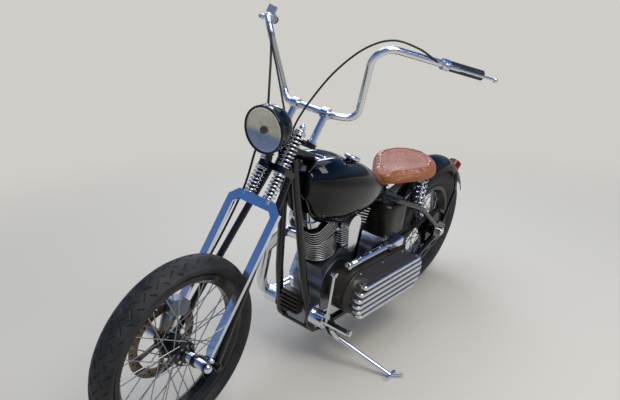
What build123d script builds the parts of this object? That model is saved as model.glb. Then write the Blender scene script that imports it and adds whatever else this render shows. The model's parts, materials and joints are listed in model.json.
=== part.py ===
from build123d import *
import math
import os

# Chopper motorcycle with a leading-link spring fork, parked on its side stand.
# Millimetres. The bike is drawn upright, with +X forward, +Y to its left and +Z up,
# from the ground point under the rear axle. At the end it is leaned onto its stand
# and moved so that its box stands on the floor with its middle over the origin.

# Stance
lean_angle = 10.0
stand_pivot_place = (961.0, 162.0, 175.0)
stand_axis_direction = (-0.4, 0.719, 1.0)
stand_foot_ahead = 927.0
stand_foot_left = 451.0
stand_foot_radius = 8.0
stand_foot_length = 70.0
stand_leg_diameter = 20.0
stand_pin_diameter = 16.0
knuckle_radius = 17.0
knuckle_reach = 38.0
knuckle_thickness = 16.0
cheek_thickness = 8.0
wheelbase = 1694.0
rake_angle = 32.0
axle_ahead_of_steering = 85.0
joint_gap = 0.3
seat_gap = 0.2

# Tyres: outer radius, half width, shoulder half width and drop, rim seat radius
front_tyre_radius = 346.5
front_tyre_half_width = 52.5
front_shoulder_half_width = 43.0
front_shoulder_drop = 19.0
front_bead_radius = 274.0
front_rim_half_width = 33.0
rear_tyre_radius = 326.0
rear_tyre_half_width = 66.0
rear_shoulder_half_width = 55.0
rear_shoulder_drop = 21.0
rear_bead_radius = 203.0
rear_rim_half_width = 44.0
rim_wall = 3.6
rim_flange_height = 13.0
rim_bed_depth = 23.0
rim_bed_half_width = 15.0

# Hubs and spokes
spoke_diameter = 3.8
spoke_offset = 5.2
spoke_pairs = 20
spoke_sweep = 58.0
hub_flange_width = 15.0
front_flange_radius = 46.0
front_flange_place = 31.0
front_hub_half_length = 69.0
front_barrel_radius = 27.0
rear_flange_radius = 60.0
rear_flange_place = 38.0
rear_hub_half_length = 73.0
rear_barrel_radius = 36.0
front_axle_diameter = 22.0
rear_axle_diameter = 25.4

# Brake discs and belt drive
disc_radius = 146.0
disc_thickness = 5.0
disc_band = 36.0
disc_place = 74.0
rear_disc_place = 71.0
pulley_radius = 104.0
pulley_width = 24.0
belt_thickness = 6.0
belt_width = 20.0
belt_gap = 1.0
drive_pulley_radius = 50.0

# Frame tubes
tube_diameter = 32.0
backbone_diameter = 38.0
rail_height = 150.0
rail_half_width = 84.0
axle_plate_place = 118.0
axle_plate_thickness = 10.0
head_tube_low = 722.0
head_tube_high = 822.0
head_tube_diameter = 54.0
stem_diameter = 25.4
frame_tube_end = 26.0

# Spring fork, measured up the steering axis from the level of the front axle
lower_yoke_level = 694.0
lower_yoke_thickness = 24.0
upper_yoke_level = 826.0
upper_yoke_thickness = 14.0
rear_leg_diameter = 25.4
rear_leg_top_spread = 48.0
rear_leg_place = -8.0
front_leg_place = 46.0
front_leg_spread = 103.0
front_leg_thickness = 16.0
front_leg_width = 30.0
crown_level = 556.0
crown_height = 36.0
crown_thickness = 20.0
spring_spread = 42.0
spring_diameter = 34.0
spring_rod_diameter = 12.0
spring_coils = 12
lower_spring_bottom = 592.0
lower_spring_top = 694.0
upper_spring_top = 854.0
rocker_thickness = 14.0
rocker_place = 89.0
rocker_end_radius = 19.0
rocker_rear_ahead = -12.0
crown_top_half_width = 84.0
axle_cap_place = 157.0

# Handlebar and headlight
bar_diameter = 25.4
riser_spread = 69.0
riser_diameter = 25.0
riser_height = 104.0
clamp_level = 962.0
bar_bend = 66.0
bar_low_bend = (-60.0, 165.0, 990.0)
bar_top_bend = (160.0, 235.0, 1195.0)
bar_end = (-172.0, 475.0, 1306.0)
grip_diameter = 36.0
grip_length = 128.0
headlight_radius = 84.0
headlight_ahead = 189.0
headlight_level = 793.0
headlight_tilt = -3.0
headlight_depth = 104.0
lens_bulge = 11.0

# Engine: crank place, cylinder angle from upright, and levels up each cylinder
crank_ahead = 851.0
crank_height = 322.0
cylinder_tilt = 22.5
deck_level = 150.0
head_level = 278.0
rocker_level = 356.0
rocker_top_level = 428.0
bore_radius = 56.0
fin_count = 12
head_fin_count = 6
fin_thickness = 3.2
fin_radius = 78.0
head_half_length = 84.0
head_half_width = 74.0
case_half_width = 72.0
case_radius = 112.0

# Primary drive case on the left
clutch_ahead = 504.0
clutch_height = 312.0
primary_radius = 94.0
primary_inner_face = 102.0
primary_split = 168.0
primary_outer_face = 256.0
rib_count = 5
rib_pitch = 30.0
rib_width = 20.0
rib_depth = 12.0
sump_height = 206.0

# Tank, seat and rear fender
tunnel_half_width = 84.0
seat_ahead = 308.0
seat_height = 722.0
seat_tilt = -5.7
seat_half_length = 172.0
seat_half_width = 158.0
seat_thickness = 42.0
seat_spring_foot = 532.0
seat_spring_place = -46.0
oil_tank_front = 572.0
oil_tank_rear = 392.0
oil_tank_half_width = 124.0
tail_lamp_angle = 138.0

# Foot controls
control_ahead = 1014.0
control_height = 236.0
fender_radius = 369.0
fender_half_width = 76.0
fender_wall = 3.0
fender_front_angle = 22.0
fender_rear_angle = 153.0


def crown_arc_radius(shoulder_half_width, shoulder_drop):
    return (shoulder_half_width ** 2 + shoulder_drop ** 2) / (2 * shoulder_drop)


def axle_height(tyre_radius, shoulder_half_width, shoulder_drop):
    """Height of an upright axle whose leaned tyre just meets the floor."""
    arc = crown_arc_radius(shoulder_half_width, shoulder_drop)
    return tyre_radius + arc * (1 / math.cos(math.radians(lean_angle)) - 1)


front_axle_height = axle_height(front_tyre_radius, front_shoulder_half_width, front_shoulder_drop)
rear_axle_height = axle_height(rear_tyre_radius, rear_shoulder_half_width, rear_shoulder_drop)
rake = math.radians(rake_angle)
steer_up = Vector(-math.sin(rake), 0, math.cos(rake))
steer_ahead = Vector(math.cos(rake), 0, math.sin(rake))
steer_left = Vector(0, 1, 0)
front_axle = Vector(wheelbase, 0, front_axle_height)
rear_axle = Vector(0, 0, rear_axle_height)
steer_base = front_axle - steer_ahead * axle_ahead_of_steering
fork_plane = Plane(origin=steer_base, x_dir=steer_ahead, z_dir=steer_up)


def on_fork(ahead, left, level):
    """Point in fork measures: ahead of the steering axis, left, and up along it."""
    return steer_base + steer_ahead * ahead + steer_left * left + steer_up * level


def rod(start, end, diameter):
    line = Line(start, end)
    return sweep(Plane(origin=line @ 0, z_dir=line % 0) * Circle(diameter / 2), path=line)


def tube(points, diameter, bends):
    """Round tube through points, its corners bent to the radii given."""
    path = FilletPolyline(*points, radius=bends)
    return sweep(Plane(origin=path @ 0, z_dir=path % 0) * Circle(diameter / 2), path=path)


def disc(centre, direction, radius, length):
    """Round bar centred on a point, along a direction."""
    return Plane(origin=centre, z_dir=direction) * Cylinder(radius, length)


def across(x, z, low, high, radius):
    """Round bar across the bike from one side place to another."""
    return disc((x, (low + high) / 2, z), (0, 1, 0), radius, high - low)


def block(low, high):
    size = [b - a for a, b in zip(low, high)]
    middle = [(a + b) / 2 for a, b in zip(low, high)]
    return Pos(*middle) * Box(*size)


def main_solid(shape):
    """The largest solid of a cut shape, without its offcuts."""
    return max(shape.solids(), key=lambda solid: solid.volume)


def mirrored(shape):
    return mirror(shape, about=Plane.XZ)


def both(shape):
    return [shape, mirrored(shape)]


def slab(outline, low, high):
    """Side-view outline of (x, z) points or a face, given a width across the bike."""
    face = outline if isinstance(outline, (Sketch, Face)) else make_face(Polyline(*outline, close=True))
    return extrude(Plane(origin=(0, low, 0), x_dir=(1, 0, 0), z_dir=(0, -1, 0)) * face, -(high - low))


def turned(axle, outline):
    """Ring about an axle, from a closed section of (across, radius) edges."""
    section = Plane(origin=axle, x_dir=(0, 1, 0), z_dir=(1, 0, 0)) * make_face(outline)
    return revolve(section, Axis(axle, (0, 1, 0)), 360)


# Wheels

def tyre(axle, radius, half_width, shoulder_half_width, shoulder_drop, bead_radius, rim_half_width):
    bead = rim_half_width - rim_wall - seat_gap
    lip = bead_radius + rim_flange_height + 2
    shoulder = radius - shoulder_drop
    widest = (lip + shoulder) / 2 + 4
    outline = [
        ThreePointArc((-shoulder_half_width, shoulder), (0, radius), (shoulder_half_width, shoulder)),
        ThreePointArc((shoulder_half_width, shoulder), (half_width, widest), (bead, lip)),
        Line((bead, lip), (bead, bead_radius)),
        Line((bead, bead_radius), (-bead, bead_radius)),
        Line((-bead, bead_radius), (-bead, lip)),
        ThreePointArc((-bead, lip), (-half_width, widest), (-shoulder_half_width, shoulder)),
    ]
    return turned(axle, outline)


def rim(axle, bead_radius, half_width):
    flange = bead_radius + rim_flange_height
    bed = bead_radius - rim_bed_depth
    inner = half_width - rim_wall
    outline = Polyline(
        (-half_width, flange), (-inner, flange), (-inner, bead_radius), (inner, bead_radius),
        (inner, flange), (half_width, flange), (half_width, bead_radius - 6),
        (rim_bed_half_width, bed), (-rim_bed_half_width, bed), (-half_width, bead_radius - 6),
        close=True)
    return turned(axle, outline)


def hub(axle, flange_radius, flange_place, barrel_radius, left_end, right_end, bore_radius_):
    inner = flange_place - hub_flange_width / 2
    outer = flange_place + hub_flange_width / 2
    outline = Polyline(
        (-right_end, bore_radius_), (-right_end, barrel_radius), (-outer - 6, barrel_radius),
        (-outer, flange_radius), (-inner, flange_radius), (-inner + 8, barrel_radius),
        (inner - 8, barrel_radius), (inner, flange_radius), (outer, flange_radius),
        (outer + 6, barrel_radius), (left_end, barrel_radius), (left_end, bore_radius_),
        close=True)
    return turned(axle, outline)


def spokes(axle, flange_radius, flange_place, bead_radius):
    """Crossed spokes: each side has two sets, one swept forward and one back."""
    start_radius = flange_radius + spoke_diameter / 2 + 0.4
    end_radius = bead_radius - rim_bed_depth - 0.9
    pitch = 360 / spoke_pairs
    laced = []
    # side, sweep direction, place on the flange, turn at the rim
    sets = ((1, 1, 1, 0.0), (1, -1, -1, 0.5), (-1, 1, -1, 0.25), (-1, -1, 1, 0.75))
    for side, sweep_way, place, turn in sets:
        hub_place = side * (flange_place + place * spoke_offset)
        rim_place = side * (6 + place * 1.5)
        for index in range(spoke_pairs // 2):
            rim_angle = math.radians(2 * pitch * (index + turn))
            hub_angle = rim_angle + math.radians(sweep_way * spoke_sweep)
            start = axle + Vector(start_radius * math.cos(hub_angle), hub_place, start_radius * math.sin(hub_angle))
            end = axle + Vector(end_radius * math.cos(rim_angle), rim_place, end_radius * math.sin(rim_angle))
            laced.append(rod(start, end, spoke_diameter))
    return laced


def brake_disc(axle, place, hub_radius):
    """Braking band on five arms from a carrier at the hub."""
    band = turned(axle, Polyline(
        (place - disc_thickness / 2, disc_radius - disc_band), (place + disc_thickness / 2, disc_radius - disc_band),
        (place + disc_thickness / 2, disc_radius), (place - disc_thickness / 2, disc_radius), close=True))
    carrier = turned(axle, Polyline(
        (place - disc_thickness / 2, hub_radius), (place + disc_thickness / 2, hub_radius),
        (place + disc_thickness / 2, hub_radius + 24), (place - disc_thickness / 2, hub_radius + 24), close=True))
    whole = band + carrier
    reach = disc_radius - disc_band / 2 - hub_radius - 6
    for index in range(5):
        arm = Pos(hub_radius + 6 + reach / 2, 0, 0) * Box(reach, disc_thickness, 20)
        arm = Pos(axle.X, axle.Y + place, axle.Z) * Rot(0, index * 72 + 18, 0) * arm
        whole = whole + arm
    return whole


front_axle_bore = front_axle_diameter / 2 + joint_gap
rear_axle_bore = rear_axle_diameter / 2 + joint_gap

front_tyre = tyre(front_axle, front_tyre_radius, front_tyre_half_width, front_shoulder_half_width,
                  front_shoulder_drop, front_bead_radius, front_rim_half_width)
front_rim = rim(front_axle, front_bead_radius, front_rim_half_width)
front_hub = hub(front_axle, front_flange_radius, front_flange_place, front_barrel_radius,
                front_hub_half_length - 14, disc_place - disc_thickness / 2, front_axle_bore)
front_spokes = spokes(front_axle, front_flange_radius, front_flange_place, front_bead_radius)
front_disc = brake_disc(front_axle, -disc_place, front_axle_bore)

rear_tyre = tyre(rear_axle, rear_tyre_radius, rear_tyre_half_width, rear_shoulder_half_width,
                 rear_shoulder_drop, rear_bead_radius, rear_rim_half_width)
rear_rim = rim(rear_axle, rear_bead_radius, rear_rim_half_width)
rear_hub = hub(rear_axle, rear_flange_radius, rear_flange_place, rear_barrel_radius,
               rear_hub_half_length, rear_disc_place - disc_thickness / 2, rear_axle_bore)
rear_spokes = spokes(rear_axle, rear_flange_radius, rear_flange_place, rear_bead_radius)
rear_disc = brake_disc(rear_axle, -rear_disc_place, rear_axle_bore)
rear_pulley = turned(rear_axle, Polyline(
    (rear_hub_half_length, rear_axle_bore), (rear_hub_half_length, pulley_radius),
    (rear_hub_half_length + pulley_width, pulley_radius), (rear_hub_half_length + pulley_width, pulley_radius - 8),
    (rear_hub_half_length + 8, pulley_radius - 12), (rear_hub_half_length + 8, rear_axle_bore + 20),
    (rear_hub_half_length + pulley_width, rear_axle_bore + 20),
    (rear_hub_half_length + pulley_width, rear_axle_bore), close=True))

# Frame

neck = disc(on_fork(0, 0, (head_tube_low + head_tube_high) / 2), steer_up,
            head_tube_diameter / 2, head_tube_high - head_tube_low)
neck_bore = disc(on_fork(0, 0, (head_tube_low + head_tube_high) / 2), steer_up,
                 stem_diameter / 2 + joint_gap, 300)
neck_back = on_fork(0, 0, head_tube_high - 34)
seat_post_foot = (628.0, 0.0, rail_height)
backbone_points = [neck_back, (730, 0, 780), (600, 0, 690), seat_post_foot]
backbone_bends = [140, 100]
backbone = tube(backbone_points, backbone_diameter, backbone_bends)

downtube_points = [
    on_fork(-22, 19, head_tube_low + 50), (1086, 62, 430), (1006, rail_half_width, rail_height + 6),
    (920, rail_half_width, rail_height), (470, rail_half_width + 10, rail_height),
    (330, axle_plate_place - 4, 196), (frame_tube_end + 16, axle_plate_place - 4, rear_axle_height - 24),
]
left_cradle = tube(downtube_points, tube_diameter, [300, 60, 60, 200, 150])
stay_points = [
    (598, 22, 668), (520, axle_plate_place - 10, 632), (250, axle_plate_place - 2, 520),
    (frame_tube_end + 8, axle_plate_place - 4, rear_axle_height + 34),
]
left_stay = tube(stay_points, tube_diameter - 6, [60, 300])
axle_plate_face = [
    (-52, rear_axle_height - 34), (-60, rear_axle_height + 20), (20, rear_axle_height + 62),
    (62, rear_axle_height + 50), (62, rear_axle_height - 44), (-20, rear_axle_height - 44),
]
axle_plate = slab(axle_plate_face, axle_plate_place - axle_plate_thickness / 2,
                  axle_plate_place + axle_plate_thickness / 2)
axle_plate = axle_plate - across(0, rear_axle_height, 0, 200, rear_axle_diameter / 2 + seat_gap)
cross_front = across(985, rail_height, -rail_half_width, rail_half_width, 14)
cross_middle = across(628, rail_height, -rail_half_width - 2, rail_half_width + 2, 16)
cross_rear = across(404, 588, -axle_plate_place + 6, axle_plate_place - 6, 11)

frame_backbone = (neck + backbone - neck_bore)
left_side = main_solid(left_cradle + left_stay + axle_plate - frame_backbone)
right_side = mirrored(left_side)
cross_members = (cross_front + cross_middle + cross_rear) - left_side - right_side - frame_backbone

# Spring fork

def fork_bar(ahead, left, low, high, diameter):
    """Round bar parallel to the steering axis."""
    return disc(on_fork(ahead, left, (low + high) / 2), steer_up, diameter / 2, high - low)


def fork_plate(outline, level, thickness):
    """Flat plate square to the steering axis, from a sketch in (ahead, left)."""
    plane = Plane(origin=on_fork(0, 0, level), x_dir=steer_ahead, z_dir=steer_up)
    return extrude(plane * outline, thickness)


def fork_face(outline, ahead, depth):
    """Plate that faces forward, from a sketch in (left, level), centred on a place ahead."""
    plane = Plane(origin=on_fork(ahead - depth / 2, 0, 0), x_dir=steer_left, z_dir=steer_ahead)
    return extrude(plane * outline, depth)


def hull_of(circles):
    """Sketch that wraps circles given as (ahead, left, radius)."""
    return make_hull([edge for ahead, left, radius in circles
                      for edge in (Pos(ahead, left) * Circle(radius)).edges()])


lower_yoke_top = lower_yoke_level + lower_yoke_thickness
lower_yoke = fork_plate(hull_of([
    (rear_leg_place, rear_leg_top_spread, 16), (rear_leg_place, -rear_leg_top_spread, 16),
    (front_leg_place, spring_spread, 19), (front_leg_place, -spring_spread, 19)]),
    lower_yoke_level, lower_yoke_thickness)
upper_yoke = fork_plate(hull_of([
    (rear_leg_place, riser_spread, 21), (rear_leg_place, -riser_spread, 21), (10, 0, 24)]),
    upper_yoke_level, upper_yoke_thickness)
stem = fork_bar(0, 0, lower_yoke_top, upper_yoke_level, stem_diameter)
stem_cup_low = fork_bar(0, 0, lower_yoke_top, head_tube_low - joint_gap, head_tube_diameter - 6)
stem_cup_high = fork_bar(0, 0, head_tube_high + joint_gap, upper_yoke_level, head_tube_diameter - 6)
stem_nut = fork_bar(0, 0, upper_yoke_level + upper_yoke_thickness, upper_yoke_level + upper_yoke_thickness + 16, 36)
spring_rods = [fork_bar(front_leg_place, side * spring_spread, crown_level + crown_height + seat_gap,
                        upper_spring_top + 26, spring_rod_diameter) for side in (1, -1)]
rod_holes = [fork_bar(front_leg_place, side * spring_spread, lower_yoke_level - 5,
                      lower_yoke_top + 5, spring_rod_diameter + 2 * seat_gap) for side in (1, -1)]
lower_yoke = lower_yoke - rod_holes[0] - rod_holes[1]
fork_stem = lower_yoke + stem + stem_cup_low + stem_cup_high + upper_yoke + stem_nut


rocker_inner = rocker_place - rocker_thickness / 2
rocker_outer = rocker_place + rocker_thickness / 2
rear_leg_low_spread = rocker_outer + seat_gap + rear_leg_diameter / 2


def fork_slab(outline, low, high):
    """Plate on edge beside the wheel, from a sketch in (ahead, level)."""
    plane = Plane(origin=on_fork(0, low, 0), x_dir=steer_ahead, z_dir=-steer_left)
    return extrude(plane * outline, -(high - low))


rocker_outline = hull_of([(rocker_rear_ahead, 0, rocker_end_radius), (front_leg_place, -4, rocker_end_radius),
                          (axle_ahead_of_steering, 0, rocker_end_radius + 3)])
rocker_axle_hole = disc(front_axle, steer_left, front_axle_diameter / 2 + seat_gap, 400)
left_rocker = fork_slab(rocker_outline, rocker_inner, rocker_outer) - rocker_axle_hole


def rear_leg(side):
    """Black leg of the rigid fork, down to its eye outside the rocker."""
    top = on_fork(rear_leg_place, side * rear_leg_top_spread, lower_yoke_level)
    bottom = on_fork(rocker_rear_ahead, side * rear_leg_low_spread, 0)
    eye = disc(bottom, steer_left, 17, rear_leg_diameter)
    return rod(top, bottom, rear_leg_diameter) + eye - fork_stem - left_rocker - mirrored(left_rocker)


def coil_stack(side, low, high, turns):
    """Spring as a row of round turns on its rod, with flat closed ends."""
    pitch = (high - low) / turns
    inner = spring_rod_diameter / 2 + seat_gap
    core = spring_diameter / 2 - 0.55 * pitch
    outer = spring_diameter / 2
    edges = [Line((inner, low), (core, low))]
    for turn in range(turns):
        start = low + turn * pitch
        edges.append(ThreePointArc((core, start), (outer, start + pitch / 2), (core, start + pitch)))
    edges += [Line((core, high), (inner, high)), Line((inner, high), (inner, low))]
    plane = Plane(origin=on_fork(front_leg_place, side * spring_spread, 0), x_dir=steer_ahead, z_dir=-steer_left)
    axis = Axis(on_fork(front_leg_place, side * spring_spread, 0), steer_up)
    return revolve(plane * make_face(edges), axis, 360)


fork_springs = []
for side in (1, -1):
    fork_springs.append(coil_stack(side, lower_spring_bottom + seat_gap, lower_spring_top - seat_gap, spring_coils))
    fork_springs.append(coil_stack(side, lower_yoke_top + seat_gap, upper_spring_top, spring_coils))

rear_legs = [rear_leg(side) for side in (1, -1)]

# Chrome front fork: crown and two flat legs in one plate, cut back where the rockers pass
leg_inner = front_leg_spread - front_leg_width / 2
leg_outer = front_leg_spread + front_leg_width / 2
crown_top = crown_level + crown_height
front_fork_outline = Polyline(
    (-crown_top_half_width, crown_top), (-leg_outer, crown_level + 4), (-leg_outer, -16),
    (-rocker_outer - seat_gap, -16), (-rocker_outer - seat_gap, 30), (-leg_inner, 46), (-leg_inner, crown_level - 16),
    (-leg_inner + 16, crown_level), (leg_inner - 16, crown_level), (leg_inner, crown_level - 16), (leg_inner, 46),
    (rocker_outer + seat_gap, 30), (rocker_outer + seat_gap, -16), (leg_outer, -16),
    (leg_outer, crown_level + 4), (crown_top_half_width, crown_top), close=True)
front_fork = fork_face(make_face(front_fork_outline), front_leg_place, front_leg_thickness)
crown_block = fork_plate(Pos(front_leg_place, 0) * RectangleRounded(40, 2 * spring_spread + 40, 18),
                         crown_top - 16, 16)
front_fork = front_fork + crown_block
spring_caps = [fork_bar(front_leg_place, side * spring_spread, upper_spring_top + seat_gap,
                        upper_spring_top + 14, 24) for side in (1, -1)]
spring_hardware = [spring_rods[i] + spring_caps[i] for i in range(2)]


rocker_bolts = []
for ahead, level, start, end in (
        (rocker_rear_ahead, 0, rear_leg_low_spread + rear_leg_diameter / 2, rear_leg_low_spread + rear_leg_diameter / 2 + 9),
        (front_leg_place, -2, leg_outer, leg_outer + 9)):
    for side in (1, -1):
        rocker_bolts.append(disc(on_fork(ahead, side * (start + end) / 2, level), steer_left, 11, end - start))
rocker_bolts = [main_solid(bolt - rear_legs[0] - rear_legs[1]) for bolt in rocker_bolts]
rockers = [left_rocker, mirrored(left_rocker)] + rocker_bolts
front_axle_bar = across(front_axle.X, front_axle.Z, -axle_cap_place, axle_cap_place, front_axle_diameter / 2)
axle_parts = front_axle_bar
for side in (1, -1):
    low, high = sorted((side * (rocker_outer + seat_gap), side * (axle_cap_place - 12)))
    axle_parts += across(front_axle.X, front_axle.Z, low, high, 17)
    axle_parts += Pos(front_axle.X, side * (axle_cap_place - 12), front_axle.Z) * Sphere(17)
spacer_start = front_hub_half_length - 14 + joint_gap
axle_parts += across(front_axle.X, front_axle.Z, spacer_start, rocker_inner - seat_gap, 19)
axle_parts += across(front_axle.X, front_axle.Z, -rocker_inner + seat_gap, -disc_place - disc_thickness / 2 - joint_gap, 19)


def caliper(axle, place, angle, reach):
    """Caliper block astride a disc's edge, at an angle from forward about the axle."""
    turn = math.radians(angle)
    centre = axle + Vector(reach * math.cos(turn), 0, reach * math.sin(turn))
    body = Pos(centre.X, place, centre.Z) * Rot(0, -angle + 90, 0) * Box(96, 52, 58)
    body = fillet(body.edges().filter_by(Axis.Y), 18)
    slot = across(axle.X, axle.Z, place - 7.6, place + 7.6, disc_radius + 5)
    return body - slot


front_caliper = caliper(front_axle, -disc_place, 112, disc_radius - 16)
caliper_arm = slab([(front_axle.X - 34, front_axle.Z - 8), (front_axle.X - 8, front_axle.Z + 16),
                    (front_axle.X - 24, front_axle.Z + 112), (front_axle.X - 66, front_axle.Z + 104)],
                   -rocker_outer - 8, -rocker_outer)
caliper_arm = caliper_arm - front_fork - rear_legs[1]
front_caliper = front_caliper + caliper_arm

# Handlebar, risers and hand controls

def riser(side):
    base = upper_yoke_level + upper_yoke_thickness
    post = fork_bar(rear_leg_place, side * riser_spread, base, clamp_level - bar_diameter / 2 - 4, riser_diameter)
    collar = fork_bar(rear_leg_place, side * riser_spread, base, base + 9, riser_diameter + 14)
    clamp = disc(on_fork(rear_leg_place, side * riser_spread, clamp_level), steer_left, 21, 30)
    return post + collar + clamp


bar_points = [on_fork(ahead, left, level) for ahead, left, level in (
    (rear_leg_place, 0, clamp_level), (rear_leg_place, riser_spread + 34, clamp_level), bar_low_bend,
    bar_top_bend, bar_end)]
left_bar = tube(bar_points, bar_diameter, [30, 40, bar_bend])
handlebar = left_bar + mirrored(left_bar)
bar_hole = across(bar_points[0].X, bar_points[0].Z, -100, 100, bar_diameter / 2)
risers = [riser(side) - bar_hole for side in (1, -1)]
bar_run = (bar_points[-1] - bar_points[-2]).normalized()
grip_start = bar_points[-1] - bar_run * grip_length
grip_end = bar_points[-1] + bar_run * 3
grip_bar = rod(grip_start, grip_end, grip_diameter)
left_grip = grip_bar - rod(grip_start - bar_run * 5, bar_points[-1], bar_diameter + 2 * seat_gap)
perch_place = grip_start - bar_run * 22
lever_side = (steer_ahead * 0.93 - steer_up * 0.36)
lever_side = (lever_side - bar_run * lever_side.dot(bar_run)).normalized()
perch = rod(perch_place - bar_run * 13, perch_place + bar_run * 13, bar_diameter + 14)
perch += rod(perch_place, perch_place + lever_side * 44, 17)
perch = perch - rod(perch_place - bar_run * 60, perch_place + bar_run * 60, bar_diameter)
lever_root = perch_place + lever_side * 46 + bar_run * 6
lever = rod(lever_root - bar_run * 14, lever_root + bar_run * 26, 15)
lever += rod(lever_root + bar_run * 24, lever_root + bar_run * 172 + lever_side * 6, 10)
lever += Pos(*(lever_root + bar_run * 172 + lever_side * 6)) * Sphere(9)
hand_control = perch + lever
reservoir = Plane(origin=perch_place + steer_up * 35 + lever_side * 14 - bar_run * 9, x_dir=bar_run,
                  z_dir=(steer_up - bar_run * steer_up.dot(bar_run)).normalized()) * Box(52, 34, 32)
reservoir = reservoir - rod(perch_place - bar_run * 60, perch_place + bar_run * 60, bar_diameter) - grip_bar
brake_control = mirrored(hand_control + reservoir)

# Headlight

head_front = on_fork(headlight_ahead, 0, headlight_level)
head_axis = Vector(1, 0, math.tan(math.radians(headlight_tilt))).normalized()
head_plane = Plane(origin=head_front, x_dir=head_axis, z_dir=(0, -1, 0))
shell_outline = [
    Line((0, 0), (0, headlight_radius)), Line((0, headlight_radius), (-16, headlight_radius)),
    ThreePointArc((-16, headlight_radius), (-76, headlight_radius * 0.8), (-headlight_depth, 22)),
    Line((-headlight_depth, 22), (-headlight_depth, 0)), Line((-headlight_depth, 0), (0, 0)),
]
head_solid = revolve(head_plane * make_face(shell_outline), Axis(head_front, head_axis), 360)
lens_radius = headlight_radius - 6
lens_ball = (lens_radius ** 2 + lens_bulge ** 2) / (2 * lens_bulge)
lens_rim = math.asin(lens_radius / lens_ball) / 2
lens_middle = (lens_bulge - 2 - lens_ball * (1 - math.cos(lens_rim)), lens_ball * math.sin(lens_rim))
lens_outline = [
    Line((-8, 0), (-8, lens_radius)), Line((-8, lens_radius), (-2, lens_radius)),
    ThreePointArc((-2, lens_radius), lens_middle, (lens_bulge - 2, 0)), Line((lens_bulge - 2, 0), (-8, 0)),
]
headlight_lens = revolve(head_plane * make_face(lens_outline), Axis(head_front, head_axis), 360)
lens_pocket = revolve(head_plane * make_face(Polyline(
    (-8, 0), (-8, lens_radius), (20, lens_radius), (20, 0), close=True)), Axis(head_front, head_axis), 360)
headlight_shell = head_solid - lens_pocket
lamp_mount = rod(head_front + head_axis * -52 + Vector(0, 0, -headlight_radius + 10),
                 on_fork(front_leg_place + 34, 0, lower_yoke_level + 12), 24)
lamp_foot = fork_plate(Pos(front_leg_place + 18, 0) * Rectangle(56, 34), lower_yoke_level + 2, 20)
lamp_bracket = lamp_mount + lamp_foot - head_solid - fork_stem
for piece in spring_hardware:
    lamp_bracket = lamp_bracket - piece

# Engine

crank = Vector(crank_ahead, 0, crank_height)


def bank_plane(way, level):
    """Plane square to a cylinder, at a level up from the crank; its x points forward."""
    tilt = math.radians(cylinder_tilt) * way
    up = Vector(math.sin(tilt), 0, math.cos(tilt))
    return Plane(origin=crank + up * level, x_dir=(math.cos(tilt), 0, -math.sin(tilt)), z_dir=up)


def finned_cylinder(way):
    """Barrel with round fins, and a head with squarer fins above it."""
    barrel_height = head_level - deck_level
    head_height = rocker_level - head_level
    body = bank_plane(way, deck_level) * extrude(Circle(bore_radius), barrel_height)
    pitch = (barrel_height - 8) / fin_count
    for index in range(fin_count):
        level = deck_level + 8 + index * pitch
        radius = fin_radius - 10 * max(0, 2 - index) / 2
        body += bank_plane(way, level) * extrude(Circle(radius), fin_thickness)
    body += bank_plane(way, head_level) * extrude(RectangleRounded(112, 104, 20), head_height)
    head_pitch = (head_height - 4) / head_fin_count
    for index in range(head_fin_count):
        level = head_level + 2 + index * head_pitch
        body += bank_plane(way, level) * extrude(
            RectangleRounded(2 * head_half_length, 2 * head_half_width, 34), fin_thickness)
    return body


def rocker_box(way):
    """Stepped rocker cover with a gasket line and rounded ends."""
    step = rocker_top_level - rocker_level - 30
    base = bank_plane(way, rocker_level) * extrude(RectangleRounded(146, 118, 30), 30)
    lid = bank_plane(way, rocker_level + 30) * extrude(RectangleRounded(134, 104, 26), step, taper=8)
    return base + lid


front_cylinder = finned_cylinder(1)
rear_cylinder = finned_cylinder(-1)
overlap_wedge = slab([(crank_ahead - 300, crank_height), (crank_ahead, crank_height),
                      (crank_ahead, crank_height + 700), (crank_ahead - 300, crank_height + 700)], -200, 200)
front_cylinder = front_cylinder - overlap_wedge
rear_cylinder = rear_cylinder - Pos(300 - seat_gap, 0, 0) * overlap_wedge

crankcase = across(crank.X, crank.Z, -case_half_width, case_half_width, case_radius)
for way in (1, -1):
    crankcase += bank_plane(way, 0) * extrude(Rectangle(150, 2 * case_half_width - 8), deck_level - seat_gap)
crankcase += block((crank.X - 96, -case_half_width, sump_height), (crank.X + 92, case_half_width, crank.Z))
crankcase += block((crank.X + 80, -44, rail_height + 14 + seat_gap), (crank.X + 152, 44, crank.Z - 92))
crankcase += block((628 - 14, -40, rail_height + 16 + seat_gap), (crank.X - 80, 40, crank.Z - 92))
crankcase = crankcase - frame_backbone - cross_members - front_cylinder - rear_cylinder
cam_chest = across(crank.X, crank.Z - 8, -case_half_width - 38, -case_half_width, 92)
cam_chest += slab([(crank.X - 104, crank.Z + 10), (crank.X - 62, crank.Z + 118), (crank.X + 62, crank.Z + 118),
                   (crank.X + 104, crank.Z + 10)], -case_half_width - 32, -case_half_width)
cam_cover = across(crank.X, crank.Z - 8, -case_half_width - 52, -case_half_width - 38, 70)
cam_chest = cam_chest + cam_cover
pushrods = []
for way in (1, -1):
    for index in (0, 1):
        foot = Vector(crank.X + way * (26 + 40 * index), -case_half_width - 20, crank.Z + 100)
        top_plane = bank_plane(way, rocker_level - 8)
        top = top_plane.origin + top_plane.x_dir * (-way * 34 + way * 44 * index) + Vector(0, -62, 0)
        pushrods.append(main_solid(rod(foot, top, 19) - cam_chest))
for tube_ in pushrods:
    front_cylinder = main_solid(front_cylinder - tube_)
    rear_cylinder = main_solid(rear_cylinder - tube_)
transmission = block((clutch_ahead - 104, -80, 214), (clutch_ahead + 84, rear_hub_half_length - 8, 398))
transmission = fillet(transmission.edges().filter_by(Axis.Y), 26)
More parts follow.
